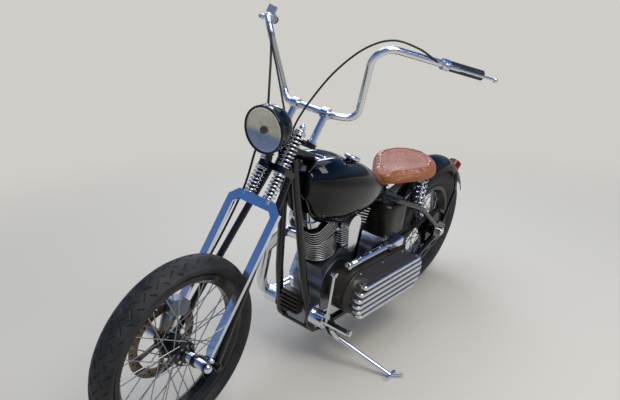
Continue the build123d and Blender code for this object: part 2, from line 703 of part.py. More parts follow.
transmission += across(clutch_ahead, clutch_height, -96, -80, 74)
transmission += across(clutch_ahead, clutch_height, 60, rear_hub_half_length + pulley_width, drive_pulley_radius)
transmission += block((clutch_ahead - 70, -50, rail_height + 16), (clutch_ahead + 60, 50, 214))
gear_mount = across(clutch_ahead, rail_height, -rail_half_width - 8, rail_half_width + 8, 16)
cross_members = cross_members + (gear_mount - left_side - right_side)
transmission = transmission - cross_members - left_side - right_side


def primary_outline(radius, front_extra):
    """Long rounded case outline round the crank and the clutch, in side view."""
    return make_hull([edge for x, z, r in (
        (crank_ahead, crank_height, radius + front_extra), (clutch_ahead, clutch_height, radius))
        for edge in (Pos(x, z) * Circle(r)).edges()])


inner_primary = slab(primary_outline(primary_radius, 0), primary_inner_face, primary_split - seat_gap)
inner_primary += across(crank.X, crank.Z, case_half_width + seat_gap, primary_inner_face, 62)
inner_primary += across(clutch_ahead, clutch_height, rear_hub_half_length + pulley_width + seat_gap, primary_inner_face, 30)
inner_primary = inner_primary - transmission - crankcase
primary_cover = slab(primary_outline(primary_radius, 0), primary_split, primary_outer_face - rib_depth)
for index in range(rib_count):
    middle = (index - (rib_count - 1) / 2) * rib_pitch
    low_z, high_z = middle - rib_width / 2, middle + rib_width / 2
    band = block((clutch_ahead - 200, primary_outer_face - rib_depth, crank_height + low_z - 5),
                 (crank_ahead + 200, primary_outer_face, crank_height + high_z - 5))
    rib = slab(primary_outline(primary_radius - 10, 0), primary_outer_face - rib_depth, primary_outer_face) & band
    primary_cover += rib

air_cleaner = across(crank.X - 4, crank.Z + 244, -168, -108, 74)
air_neck = across(crank.X - 4, crank.Z + 244, -108, -20, 24)
air_cleaner = air_cleaner + air_neck - front_cylinder - rear_cylinder
for tube_ in pushrods:
    air_cleaner = air_cleaner - tube_
horn_cover = slab(make_hull([edge for x, z, r in ((crank.X + 6, crank.Z + 292, 44), (crank.X, crank.Z + 200, 30))
                             for edge in (Pos(x, z) * Circle(r)).edges()]), 84, 122)
horn_cover += across(crank.X + 4, crank.Z + 250, 34, 84, 12)
horn_cover += block((crank.X - 60, 40, crank.Z + 242), (crank.X + 60, 52, crank.Z + 262))
horn_cover = main_solid(horn_cover - front_cylinder - rear_cylinder)

# Exhaust on the right

def bank_point(way, level, along, across_):
    plane = bank_plane(way, level)
    return plane.origin + plane.x_dir * along + Vector(0, across_, 0)


front_port = bank_point(1, head_level + 34, head_half_length + seat_gap, -20)
rear_port = bank_point(-1, head_level + 34, -head_half_length - seat_gap, -20)
front_pipe = tube([front_port, (1074, -62, 588), (1080, -140, 480), (1074, -158, 300), (985, -172, 214),
                   (520, -176, 214), (330, -180, 226)], 44, [28, 60, 120, 60, 250])
front_muffler = rod((330 + 20, -180, 225), (-130, -188, 246), 76)
rear_pipe = tube([rear_port, rear_port + Vector(-46, -30, -14), (612, -170, 420), (500, -178, 318),
                  (330, -180, 322)], 44, [30, 60, 60])
rear_muffler = rod((330 + 20, -180, 321), (-130, -188, 342), 76)
front_exhaust = main_solid(front_pipe + front_muffler - front_cylinder)
rear_exhaust = main_solid(rear_pipe + rear_muffler - rear_cylinder)

# Tank, saddle, oil tank and rear fender

tank_sections = (
    # ahead, top, bottom, half width
    (1108, 902, 800, 44),
    (1050, 922, 716, 104),
    (930, 898, 664, 143),
    (760, 826, 650, 136),
    (600, 730, 640, 92),
    (492, 660, 622, 40),
)


def tank_section(ahead, top, bottom, half_width):
    plane = Plane(origin=(ahead, 0, (top + bottom) / 2), x_dir=(0, 1, 0), z_dir=(1, 0, 0))
    corner = 0.46 * min(2 * half_width, top - bottom)
    return plane * RectangleRounded(2 * half_width, top - bottom, corner)


fuel_tank = loft([tank_section(*row) for row in tank_sections])
tunnel = slab([(1200, 600), (1200, 900), (700, 768), (560, 690), (470, 655), (470, 600)], -tunnel_half_width, tunnel_half_width)
backbone_clear = tube(backbone_points, backbone_diameter + 2 * seat_gap, backbone_bends)
fuel_tank = fuel_tank - tunnel - backbone_clear - neck
tank_cap = Plane(origin=(806, 42, 848), x_dir=(0.93, 0, 0.36), z_dir=(-0.36, 0.2, 0.93)) * Cylinder(30, 16)
tank_cap = tank_cap - fuel_tank
seat_slope = math.radians(seat_tilt)
saddle_plane = Plane(origin=(seat_ahead, 0, seat_height), x_dir=(math.cos(seat_slope), 0, math.sin(seat_slope)),
                     z_dir=(-math.sin(seat_slope), 0, math.cos(seat_slope)))
saddle = extrude(saddle_plane * Ellipse(seat_half_length, seat_half_width), seat_thickness / 2, both=True)
saddle = fillet(saddle.edges(), seat_thickness * 0.42)
seat_pan = extrude(saddle_plane.offset(-seat_thickness / 2 - 6 - seat_gap) * Ellipse(seat_half_length - 34, seat_half_width - 34), 6)
seat_parts = seat_pan
seat_nose = rod((seat_ahead + 128, 0, 640), (seat_ahead + 128, 0, seat_height - seat_thickness), 30)
seat_parts += seat_nose
for side in (1, -1):
    spring_top = saddle_plane.from_local_coords((seat_spring_place, side * 100, -seat_thickness / 2 - 4))
    coil = rod(spring_top, (spring_top.X, side * 100, seat_spring_foot), 40)
    seat_parts += main_solid(coil - left_side - right_side)

oil_tank = block((oil_tank_rear, -oil_tank_half_width, 448), (oil_tank_front, oil_tank_half_width, 612))
oil_tank = fillet(oil_tank.edges().filter_by(Axis.Y), 34)
oil_tank = oil_tank - left_side - right_side - frame_backbone - cross_members - rear_cylinder
seat_parts = main_solid(seat_parts - left_side - right_side - frame_backbone - oil_tank)

fender_section = [
    Line((-fender_half_width, fender_radius - 62), (-fender_half_width + fender_wall, fender_radius - 62)),
    ThreePointArc((-fender_half_width + fender_wall, fender_radius - 62), (0, fender_radius - fender_wall),
                  (fender_half_width - fender_wall, fender_radius - 62)),
    Line((fender_half_width - fender_wall, fender_radius - 62), (fender_half_width, fender_radius - 62)),
    ThreePointArc((fender_half_width, fender_radius - 62), (0, fender_radius), (-fender_half_width, fender_radius - 62)),
]
fender_start = math.radians(fender_front_angle)
fender_plane = Plane(origin=rear_axle, x_dir=(0, 1, 0), z_dir=(math.sin(fender_start), 0, -math.cos(fender_start)))
rear_fender = revolve(fender_plane * make_face(fender_section), Axis(rear_axle, (0, -1, 0)),
                      fender_rear_angle - fender_front_angle)


strut = tube([(-20, axle_plate_place, rear_axle_height + 40), (-120, axle_plate_place - 10, rear_axle_height + 200),
              (-178, fender_half_width - 6, rear_axle_height + 262)], 14, [80])
struts = both(main_solid(strut - rear_fender - left_side))
fender_tab = slab([(250, rear_axle_height + 300), (404, 600), (404, 576), (260, rear_axle_height + 250)], -16, 16)
fender_tab = main_solid(fender_tab - rear_fender - cross_members - oil_tank - disc(rear_axle, (0, 1, 0), fender_radius - 1, 60))
tail_turn = math.radians(tail_lamp_angle)
tail_out = Vector(math.cos(tail_turn), 0, math.sin(tail_turn))
tail_lamp = disc(rear_axle + tail_out * (fender_radius + 16), tail_out, 34, 44) - rear_fender
tail_lamp = main_solid(tail_lamp - disc(rear_axle, (0, 1, 0), fender_radius - 1, 60))

# Rear axle, caliper and belt

rear_axle_bar = across(0, rear_axle.Z, -axle_plate_place - 24, axle_plate_place + 24, rear_axle_diameter / 2)
plate_out = axle_plate_place + axle_plate_thickness / 2 + seat_gap
plate_in = axle_plate_place - axle_plate_thickness / 2 - seat_gap
for low, high in ((plate_out, plate_out + 14), (-plate_out - 14, -plate_out),
                  (rear_hub_half_length + pulley_width + joint_gap, plate_in),
                  (-plate_in, -rear_disc_place - disc_thickness / 2 - joint_gap)):
    rear_axle_bar += across(0, rear_axle.Z, low, high, 20)
rear_caliper = caliper(rear_axle, -rear_disc_place, 62, disc_radius - 16)
rear_arm = slab([(-24, rear_axle.Z - 8), (24, rear_axle.Z - 10), (96, rear_axle.Z + 96), (40, rear_axle.Z + 124)],
                -rear_disc_place - 28, -rear_disc_place - 20)
rear_caliper = main_solid(rear_caliper + rear_arm - rear_axle_bar)


def belt_outline(extra):
    return make_hull([edge for x, z, r in (
        (0, rear_axle.Z, pulley_radius + extra), (clutch_ahead, clutch_height, drive_pulley_radius + extra))
        for edge in (Pos(x, z) * Circle(r)).edges()])


belt_low = rear_hub_half_length + (pulley_width - belt_width) / 2
drive_belt = slab(belt_outline(belt_gap + belt_thickness), belt_low, belt_low + belt_width)
drive_belt = drive_belt - slab(belt_outline(belt_gap), belt_low - 1, belt_low + belt_width + 1) - transmission

# Foot controls

boss_left = across(control_ahead, control_height, rail_half_width + 4, 150, 34)
plate_left = slab([(986, 150), (1046, 262), (1034, 286), (1000, 286), (940, 150)], rail_half_width + 2, rail_half_width + 14)
control_mount = boss_left + plate_left - left_side
peg = block((control_ahead - 16, 150, control_height - 8), (control_ahead + 12, 262, control_height + 2))
peg += across(control_ahead - 2, control_height, 262, 276, 13)
shift_lever = rod((control_ahead + 4, 160, control_height - 4), (control_ahead + 12, 166, 468), 12)
shift_lever += across(control_ahead + 12, 466, 154, 176, 10)
left_control = control_mount + peg + shift_lever
left_control = left_control - left_side
shift_rod = rod((control_ahead - 2, 163, 466), (672, 92, 440), 9)
shift_arm = rod((672, 92, 440), (556, 58, 384), 12)
left_control = left_control + shift_rod + shift_arm - transmission - inner_primary

right_mount = mirrored(boss_left + plate_left)
brake_pedal = rod((control_ahead + 8, -158, control_height + 10), (1150, -204, 402), 14)
brake_pedal += disc((1156, -206, 408), (0.8, 0, 0.6), 26, 10)
right_peg = mirrored(peg)
right_control = right_mount + right_peg + brake_pedal - right_side - front_exhaust
right_control = main_solid(right_control)
regulator = block((1030, -44, 236), (1066, 44, 326))
for index in range(5):
    regulator += block((1066, -44, 242 + index * 18), (1078, 44, 247 + index * 18))
regulator += across(1046, 280, -110, 110, 8)
regulator = main_solid(regulator - left_side - right_side)

# Side stand: a leg that turns about an inclined pin in a forked bracket on the left rail

stand_pivot = Vector(*stand_pivot_place)
stand_axis = Vector(*stand_axis_direction).normalized()


def upright(point):
    """Place in the upright bike of a point given on the floor of the parked one."""
    lean = math.radians(lean_angle)
    ahead, left, up = point
    return Vector(ahead, left * math.cos(lean) - up * math.sin(lean), left * math.sin(lean) + up * math.cos(lean))


def square_to_pin(direction):
    return (direction - stand_axis * direction.dot(stand_axis)).normalized()


stand_foot = upright((stand_foot_ahead, stand_foot_left, stand_foot_radius))
leg_way = square_to_pin(stand_foot - stand_pivot)
rail_way = square_to_pin(Vector(0, -1, 0))
knuckle_plane = Plane(origin=stand_pivot, x_dir=leg_way, z_dir=stand_axis)
knuckle = extrude(knuckle_plane * hull_of([(0, 0, knuckle_radius), (knuckle_reach, 0, 12)]),
                  knuckle_thickness / 2, both=True)
knuckle = knuckle - disc(stand_pivot, stand_axis, stand_pin_diameter / 2 + joint_gap, 80)
leg = rod(stand_pivot + leg_way * knuckle_reach, stand_foot, stand_leg_diameter)
foot_bar = disc(stand_foot, (1, 0, 0), stand_foot_radius, stand_foot_length)
foot_tab = rod(stand_foot, upright((stand_foot_ahead - 30, stand_foot_left + 44, 14)), 12)
side_stand = leg + knuckle + foot_bar + foot_tab

cheek_start = knuckle_thickness / 2 + joint_gap
stand_bracket = disc(stand_pivot, stand_axis, stand_pin_diameter / 2, 2 * (cheek_start + cheek_thickness) + 8)
for way in (1, -1):
    cheek_plane = Plane(origin=stand_pivot + stand_axis * way * (cheek_start + cheek_thickness / 2), x_dir=rail_way,
                        z_dir=stand_axis)
    stand_bracket += extrude(cheek_plane * hull_of([(0, 0, knuckle_radius + 1), (66, 0, 18)]),
                             cheek_thickness / 2, both=True)
web_plane = Plane(origin=stand_pivot, x_dir=rail_way, z_dir=stand_axis)
stand_bracket += extrude(web_plane * Pos(knuckle_radius + 6 + 29, 0) * Rectangle(58, 34), cheek_start + 2, both=True)
stand_bracket += block((926, rail_half_width + 2, rail_height), (968, rail_half_width + 26, stand_pivot.Z + 40))
stand_bracket = main_solid(stand_bracket - left_side)
left_control = main_solid(left_control - stand_bracket)

nodes = {
    "front_tyre": front_tyre,
    "front_rim_and_hub": [front_rim, front_hub],
    "front_spokes": front_spokes,
    "front_brake_disc": front_disc,
    "rear_tyre": rear_tyre,
    "rear_rim_and_hub": [rear_rim, rear_hub + rear_pulley],
    "rear_spokes": rear_spokes,
    "rear_brake_disc": rear_disc,
    "frame_backbone": frame_backbone,
    "frame_left": left_side,
    "frame_right": right_side,
    "frame_cross_members": cross_members,
    "fork_yokes": fork_stem,
    "rear_fork_legs": rear_legs,
    "front_fork": front_fork,
    "fork_springs": fork_springs + spring_hardware,
    "fork_rockers": rockers,
    "front_axle": axle_parts,
    "front_caliper": front_caliper,
    "handlebar": handlebar + risers[0] + risers[1],
    "grips": both(left_grip),
    "hand_levers": [hand_control, brake_control],
    "headlight_shell": headlight_shell + lamp_bracket,
    "headlight_lens": headlight_lens,
    "crankcase": crankcase,
    "cylinders": [front_cylinder, rear_cylinder],
    "rocker_boxes": [rocker_box(1), rocker_box(-1)],
    "cam_cover": cam_chest,
    "pushrod_tubes": pushrods,
    "transmission": transmission,
    "inner_primary": inner_primary,
    "primary_cover": primary_cover,
    "air_cleaner": air_cleaner,
    "horn_cover": horn_cover,
    "exhausts": [front_exhaust, rear_exhaust],
    "fuel_tank": fuel_tank,
    "tank_cap": tank_cap,
    "saddle": saddle,
    "seat_mount": seat_parts,
    "oil_tank": oil_tank,
    "rear_fender": [rear_fender, fender_tab] + struts,
    "tail_lamp": tail_lamp,
    "rear_axle": rear_axle_bar,
    "rear_caliper": rear_caliper,
    "drive_belt": drive_belt,
    "left_foot_control": left_control,
    "right_foot_control": right_control,
    "regulator": regulator,
    "stand_bracket": stand_bracket,
    "side_stand": side_stand,
}


def parked(shape):
    """The upright bike leaned onto its stand, about the ground line of its wheels."""
    return Rot(-lean_angle, 0, 0) * shape


def solids_of(shape):
    pieces = shape if isinstance(shape, (list, tuple)) else [shape]
    return [solid for piece in pieces for solid in piece.solids()]


standing = {name: [parked(solid) for solid in solids_of(shape)] for name, shape in nodes.items()}
box = Compound([solid for solids in standing.values() for solid in solids]).bounding_box()
to_origin = Pos(-box.center().X, -box.center().Y, -box.min.Z)

os.makedirs("parts", exist_ok=True)
for name, solids in standing.items():
    placed = [to_origin * solid for solid in solids]
    export_step(placed[0] if len(placed) == 1 else Compound(placed), f"parts/{name}.step")
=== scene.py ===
import json
import math

import bmesh
import bpy
import numpy as np
from mathutils import Matrix, Vector
from mathutils.bvhtree import BVHTree


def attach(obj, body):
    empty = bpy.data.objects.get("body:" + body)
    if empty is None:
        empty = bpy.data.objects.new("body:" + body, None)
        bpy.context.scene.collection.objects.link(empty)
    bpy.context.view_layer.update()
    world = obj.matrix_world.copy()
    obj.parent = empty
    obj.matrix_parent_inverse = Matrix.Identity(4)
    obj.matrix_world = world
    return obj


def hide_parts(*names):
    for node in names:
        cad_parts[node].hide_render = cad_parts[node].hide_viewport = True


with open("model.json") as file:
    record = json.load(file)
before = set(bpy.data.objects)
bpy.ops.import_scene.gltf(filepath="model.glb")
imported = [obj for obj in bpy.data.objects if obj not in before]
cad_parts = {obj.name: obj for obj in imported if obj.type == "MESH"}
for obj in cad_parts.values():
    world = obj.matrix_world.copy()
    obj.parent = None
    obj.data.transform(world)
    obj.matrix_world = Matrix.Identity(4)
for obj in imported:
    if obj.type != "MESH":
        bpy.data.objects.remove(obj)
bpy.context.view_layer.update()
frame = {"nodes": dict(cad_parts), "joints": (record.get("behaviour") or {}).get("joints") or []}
nodes = frame["nodes"]
print("frame loaded:", len(nodes), "nodes")

# The joints give the places and directions that the pieces are built on
joints = {joint["name"]: joint for joint in frame["joints"]}
frontAxle = np.array(joints["front_wheel_spin"]["pos_m"])
rearAxle = np.array(joints["rear_wheel_spin"]["pos_m"])
bikeLeft = np.array(joints["rear_wheel_spin"]["axis"])
bikeAhead = np.array([1.0, 0.0, 0.0])
bikeUp = np.cross(bikeAhead, bikeLeft)
steerUp = np.array(joints["steering"]["axis"])
steerAhead = np.cross(bikeLeft, steerUp)

stance = {"rearAxleHeight": 0.32727, "axleAheadOfSteering": 0.085}
rearGround = rearAxle - bikeUp * stance["rearAxleHeight"]
forkBase = frontAxle - steerAhead * stance["axleAheadOfSteering"]
bikeAxes = np.stack([bikeAhead, bikeLeft, bikeUp])
forkAxes = np.stack([steerAhead, bikeLeft, steerUp])


# Points of the upright bike in millimetres (ahead, left, up), placed in the leaned frame
def onBike(points):
    return rearGround + np.asarray(points, float) / 1000 @ bikeAxes


# Points of the fork in millimetres (ahead of the steering axis, left, up it), placed in the frame
def onFork(points):
    return forkBase + np.asarray(points, float) / 1000 @ forkAxes


# Materials


# An sRGB hex colour as linear red, green, blue and alpha
def linearColour(hexColour):
    channels = [int(hexColour[i:i + 2], 16) / 255 for i in (1, 3, 5)]
    return [c / 12.92 if c <= 0.04045 else ((c + 0.055) / 1.055) ** 2.4 for c in channels] + [1.0]


# Fills a node's sockets, named with _ for a space or by _index: (node, output) pairs are linked, and plain
# values are set
def fillSockets(tree, node, **sockets):
    for name, value in sockets.items():
        socket = node.inputs[int(name[1:]) if name[0] == "_" else name.replace("_", " ")]
        if isinstance(value, tuple) and isinstance(value[0], bpy.types.Node):
            tree.links.new(value[0].outputs[value[1]], socket)
        else:
            socket.default_value = value


# Adds one node with its settings and sockets
def addNode(tree, kind, settings=None, **sockets):
    node = tree.nodes.new(kind)
    for name, value in (settings or {}).items():
        setattr(node, name, value)
    fillSockets(tree, node, **sockets)
    return node


# A new material with its node tree, its shader and its Object coordinates
def newMaterial(name):
    material = bpy.data.materials.new(name)
    material.use_nodes = True
    tree = material.node_tree
    place = addNode(tree, "ShaderNodeTexCoord")
    return material, tree, tree.nodes["Principled BSDF"], (place, "Object")


# Blends from one colour to another as the source goes from low to high
def rampBetween(tree, source, low, high, lowColour, highColour):
    ramp = addNode(tree, "ShaderNodeValToRGB", Fac=source)
    for element, position, colour in zip(ramp.color_ramp.elements, (low, high), (lowColour, highColour)):
        element.position, element.color = position, linearColour(colour)
    return ramp


# Fine relief from noise of a real grain size in millimetres, and gloss that drifts over 60 mm
def grainAndGloss(tree, shader, place, roughness, spread, grainMm, bump):
    cloud = addNode(tree, "ShaderNodeTexNoise", Vector=place, Scale=1000 / 60, Detail=4.0)
    rough = addNode(tree, "ShaderNodeMapRange", Value=(cloud, "Fac"), _1=0.3, _2=0.7,
                    _3=max(0.02, roughness - spread), _4=roughness + spread)
    fillSockets(tree, shader, Roughness=(rough, "Result"))
    if bump:
        grain = addNode(tree, "ShaderNodeTexNoise", Vector=place, Scale=1000 / grainMm, Detail=5.0)
        relief = addNode(tree, "ShaderNodeBump", Strength=bump, Distance=0.0003, Height=(grain, "Fac"))
        fillSockets(tree, shader, Normal=(relief, "Normal"))
    return cloud


# Bare or plated metal: its colour is that of its mirror light
def metalFinish(name, colour, roughness, spread, grainMm, bump):
    material, tree, shader, place = newMaterial(name)
    grainAndGloss(tree, shader, place, roughness, spread, grainMm, bump)
    fillSockets(tree, shader, Metallic=1.0, Base_Color=linearColour(colour))
    return material


# Paint: a deep colour under a clear coat, with faint orange peel
def paintFinish(name, colour, roughness, coat, grainMm, bump):
    material, tree, shader, place = newMaterial(name)
    grainAndGloss(tree, shader, place, roughness, roughness * 0.35, grainMm, bump)
    fillSockets(tree, shader, Base_Color=linearColour(colour), Coat_Weight=coat, Coat_Roughness=0.04,
                Specular_IOR_Level=0.36)
    return material


# Rubber: dull black with paler dust lying in a fine grain
def rubberFinish(name, colour, dustColour, roughness, grainMm):
    material, tree, shader, place = newMaterial(name)
    dust = grainAndGloss(tree, shader, place, roughness, 0.06, grainMm, 0.35)
    tint = rampBetween(tree, (dust, "Fac"), 0.40, 0.78, colour, dustColour)
    fillSockets(tree, shader, Base_Color=(tint, "Color"))
    return material


# Two metals or paints over one casting: dull in the recesses and bright where the mask is 1
def maskedFinish(name, makeMask, dark, bright, roughness, grainMm, bump):
    material, tree, shader, place = newMaterial(name)
    grainAndGloss(tree, shader, place, roughness, 0.05, grainMm, bump)
    mask = makeMask(tree, place)
    tint = rampBetween(tree, mask, 0.4, 0.6, dark, bright)
    fillSockets(tree, shader, Base_Color=(tint, "Color"), Metallic=mask)
    return material


# crank place in mm, cylinder tilt in degrees, least distance in metres and greatest tilt of a rim's face
engine = {"crank": (851.0, 0.0, 322.0), "tilt": 22.5, "finReach": 0.0705, "rimFacing": 0.5}


# 1 on the rims of the cooling fins: farther than finReach from both cylinder axes, |axis cross place|, and
# facing away from one of them, |axis dot normal| under rimFacing
def finEdges(tree, place):
    crank = onBike(engine["crank"])
    away = addNode(tree, "ShaderNodeVectorMath", {"operation": "SUBTRACT"}, _0=place, _1=tuple(crank))
    coords = addNode(tree, "ShaderNodeTexCoord")
    reaches, squares = [], []
    for way in (1, -1):
        tilt = math.radians(engine["tilt"]) * way
        axis = tuple(math.sin(tilt) * bikeAhead + math.cos(tilt) * bikeUp)
        arm = addNode(tree, "ShaderNodeVectorMath", {"operation": "CROSS_PRODUCT"}, _0=(away, "Vector"),
                      _1=axis)
        reaches.append(addNode(tree, "ShaderNodeVectorMath", {"operation": "LENGTH"}, _0=(arm, "Vector")))
        facing = addNode(tree, "ShaderNodeVectorMath", {"operation": "DOT_PRODUCT"}, _0=(coords, "Normal"),
                         _1=axis)
        along = addNode(tree, "ShaderNodeMath", {"operation": "ABSOLUTE"}, _0=(facing, "Value"))
        squares.append(addNode(tree, "ShaderNodeMath", {"operation": "LESS_THAN"}, _0=(along, "Value"),
                               _1=engine["rimFacing"]))
    near = addNode(tree, "ShaderNodeMath", {"operation": "MINIMUM"}, _0=(reaches[0], "Value"),
                   _1=(reaches[1], "Value"))
    far = addNode(tree, "ShaderNodeMath", {"operation": "GREATER_THAN"}, _0=(near, "Value"),
                  _1=engine["finReach"])
    square = addNode(tree, "ShaderNodeMath", {"operation": "MAXIMUM"}, _0=(squares[0], "Value"),
                     _1=(squares[1], "Value"))
    both = addNode(tree, "ShaderNodeMath", {"operation": "MULTIPLY"}, _0=(far, "Value"),
                   _1=(square, "Value"))
    return both, "Value"


# Vegetable-tanned leather: copper tan with darker mottling, pores drawn
# coarser than real ones at 1.6 mm, and a waxed gloss
def leatherFinish():
    material, tree, shader, place = newMaterial("tanned leather")
    mottle = addNode(tree, "ShaderNodeTexNoise", Vector=place, Scale=1000 / 24, Detail=7.0, Roughness=0.66)
    tint = rampBetween(tree, (mottle, "Fac"), 0.22, 0.84, "#7E4524", "#A2653A")
    pores = addNode(tree, "ShaderNodeTexVoronoi", Vector=place, Scale=1000 / 1.6)
    creases = addNode(tree, "ShaderNodeTexNoise", Vector=place, Scale=1000 / 9, Detail=6.0)
    fine = addNode(tree, "ShaderNodeBump", Strength=0.25, Distance=0.0003, Height=(pores, "Distance"))
    coarse = addNode(tree, "ShaderNodeBump", Strength=0.2, Distance=0.0008, Height=(creases, "Fac"),
                     Normal=(fine, "Normal"))
    rough = addNode(tree, "ShaderNodeMapRange", Value=(mottle, "Fac"), _1=0.3, _2=0.75, _3=0.32, _4=0.5)
    fillSockets(tree, shader, Base_Color=(tint, "Color"), Normal=(coarse, "Normal"),
                Roughness=(rough, "Result"), Coat_Weight=0.35, Coat_Roughness=0.22)
    return material


# Worn iron disc: brown rust with paler swept patches
def rustFinish():
    material, tree, shader, place = newMaterial("rusted brake iron")
    cloud = grainAndGloss(tree, shader, place, 0.5, 0.1, 1.5, 0.3)
    tint = rampBetween(tree, (cloud, "Fac"), 0.35, 0.68, "#4A3A2E", "#978873")
    fillSockets(tree, shader, Base_Color=(tint, "Color"), Metallic=0.6)
    return material


# Glass or tinted plastic, with a faint smear that dulls it in patches
def glassFinish(name, colour, roughness, transmission):
    material, tree, shader, place = newMaterial(name)
    smear = addNode(tree, "ShaderNodeTexNoise", Vector=place, Scale=1000 / 30, Detail=3.0)
    rough = addNode(tree, "ShaderNodeMapRange", Value=(smear, "Fac"), _1=0.4, _2=0.7, _3=roughness,
                    _4=roughness + 0.04)
    fillSockets(tree, shader, Roughness=(rough, "Result"), Base_Color=linearColour(colour),
                Transmission_Weight=transmission, IOR=1.5)
    return material


# Mirror plate, which gives the eye the sky above and the pale floor below
chromePlate = metalFinish("chrome plate", "#E2E6EA", 0.09, 0.02, 6.0, 0.0)
# Chromed bar tube: a shade duller, so that thin tubes show soft bright lines
barChrome = metalFinish("chromed bar tube", "#DDE1E6", 0.17, 0.03, 6.0, 0.0)
# Polished aluminium: softer than chrome, with wide pale highlights
polishedAluminium = metalFinish("polished aluminium", "#E4E6E8", 0.16, 0.05, 0.7, 0.05)
# Cast aluminium: grey and grainy, with blurred light
castAluminium = metalFinish("cast aluminium", "#8A9098", 0.40, 0.08, 1.1, 0.35)
# Ground stainless spokes: thin grey lines
brushedSteel = metalFinish("ground stainless steel", "#A7AAAD", 0.30, 0.08, 0.6, 0.12)
# Stoved cylinders: black between the fins and bright where their rims are machined
finnedIron = maskedFinish("black stoved iron with machined fin rims", finEdges, "#101113", "#E6E9EC",
                          0.34, 1.1, 0.1)
# Wrinkle lacquer on the cases: brownish black that scatters light
darkCase = paintFinish("dark wrinkle lacquer", "#302C26", 0.38, 0.1, 0.9, 0.3)
# Powder coat on hubs and rims: even satin black
blackPowder = paintFinish("black powder coat", "#0B0B0C", 0.30, 0.2, 1.2, 0.15)
# Tank, fender and headlight enamel: nearly black, with a sharp blue reflection of the sky
navyEnamel = paintFinish("blue-black enamel", "#04060A", 0.08, 0.1, 4.0, 0.02)
# Oil tank enamel: a warm black with a broad dull highlight
oliveSatin = paintFinish("olive-black satin enamel", "#11110D", 0.3, 0.1, 2.0, 0.06)
# Frame enamel: gloss black with a thin bright line along each tube
framePaint = paintFinish("gloss black frame enamel", "#0A0A0B", 0.16, 0.4, 4.0, 0.06)
brakeIron = rustFinish()
# Tyre rubber: charcoal with paler dust
tyreRubber = rubberFinish("tyre rubber", "#121314", "#2C2E31", 0.62, 1.2)
# Moulded rubber of grips, belt and cables: darker and a little glossier
softRubber = rubberFinish("moulded black rubber", "#0C0C0D", "#1D1D1F", 0.50, 0.9)
tanLeather = leatherFinish()
# Pressed glass: clear, so that the bowl shows through it
lensGlass = glassFinish("pressed lens glass", "#F4F7F8", 0.02, 1.0)
# Red acrylic: deep red that lets a third of the light through
redLens = glassFinish("red acrylic", "#7A0C0A", 0.12, 0.35)
# Flat black: soot in the silencer bores and the bulb shield's own black, and painted shade on the thin dark
# discs that stand in for the drilled disc holes and the depth of the silencer bores
sootAndPaintedShade = rubberFinish("soot black and painted shade", "#050505", "#101010", 0.8, 2.0)
# Matt black of the blank dial
dialFace = paintFinish("matt black dial", "#0D0E10", 0.5, 0.0, 2.0, 0.02)

finishes = {
    barChrome: ("handlebar", "hand_levers"),
    chromePlate: ("front_fork", "front_axle", "pushrod_tubes", "exhausts", "rocker_boxes", "air_cleaner",
                  "horn_cover", "rear_axle", "left_foot_control", "right_foot_control", "side_stand"),
    brushedSteel: ("front_spokes", "rear_spokes"),
    brakeIron: ("front_brake_disc", "rear_brake_disc"),
    polishedAluminium: ("cam_cover",),
    castAluminium: ("crankcase", "transmission", "front_caliper"),
    finnedIron: ("cylinders",),
    darkCase: ("inner_primary", "regulator"),
    blackPowder: ("front_rim_and_hub", "rear_rim_and_hub", "rear_caliper", "fork_rockers"),
    framePaint: ("frame_backbone", "frame_left", "frame_right", "frame_cross_members", "fork_yokes",
                 "rear_fork_legs", "stand_bracket"),
    navyEnamel: ("rear_fender", "headlight_shell"),
    softRubber: ("grips", "drive_belt"),
    redLens: ("tail_lamp",),
}
for material, names in finishes.items():
    for name in names:
        nodes[name].data.materials.clear()
        nodes[name].data.materials.append(material)
print("materials assigned")


# Surfaces: a part is its points, its quads and its triangles


# Quads of a grid of points, wrapped round in either direction if asked
def gridFaces(rows, columns, closeRows, closeColumns):
    r = np.arange(rows if closeRows else rows - 1)
    c = np.arange(columns if closeColumns else columns - 1)
    a, b = np.meshgrid(r, c, indexing="ij")
    a2, b2 = (a + 1) % rows, (b + 1) % columns
    quads = [a * columns + b, a2 * columns + b, a2 * columns + b2, a * columns + b2]
    return np.stack(quads, -1).reshape(-1, 4)


# Rings joined in order and closed by a fan at each end, round the given pole or the ring's middle
def closedRings(rings, poles=None):
    rows, columns = rings.shape[:2]
    ends = np.stack(poles) if poles is not None else rings[[0, -1]].mean(1)
    points = np.concatenate([rings.reshape(-1, 3), ends])
    first, last = np.arange(columns), (rows - 1) * columns + np.arange(columns)
    fans = [np.stack([ring, np.roll(ring, -1), np.full(columns, rows * columns + i)], -1)
            for i, ring in enumerate((first, last))]
    return points, gridFaces(rows, columns, False, True), np.concatenate(fans)


# Vectors divided by their lengths
def unit(vectors):
    vectors = np.asarray(vectors, float)
    return vectors / np.linalg.norm(vectors, axis=-1, keepdims=True)


# A full circle of turns without its last, which is the first again
def fullTurn(count):
    return np.linspace(0, 2 * np.pi, count, endpoint=False)


# The power of a value's size, with the value's sign
def signedPower(values, power):
    return np.sign(values) * np.abs(values) ** power


# Two directions square to each way and to each other
def squareTo(ways):
    flat = np.atleast_2d(ways)
    spare = np.eye(3)[np.argmin(np.abs(flat @ np.eye(3)).max(0))]
    across = unit(np.cross(ways, spare))
    return across, np.cross(ways, across)


# A profile of (along, radius) in millimetres turned about an axis; its two ends lie on the axis
def turned(profile, origin, axis, count=48):
    profile = np.asarray(profile, float) / 1000
    axis = unit(axis)
    across, other = squareTo(axis)
    turn = fullTurn(count)[None, :, None]
    along, radius = profile[1:-1, 0][:, None, None], profile[1:-1, 1][:, None, None]
    rings = origin + along * axis + radius * (np.cos(turn) * across + np.sin(turn) * other)
    return closedRings(rings, (origin + axis * profile[0, 0], origin + axis * profile[-1, 0]))


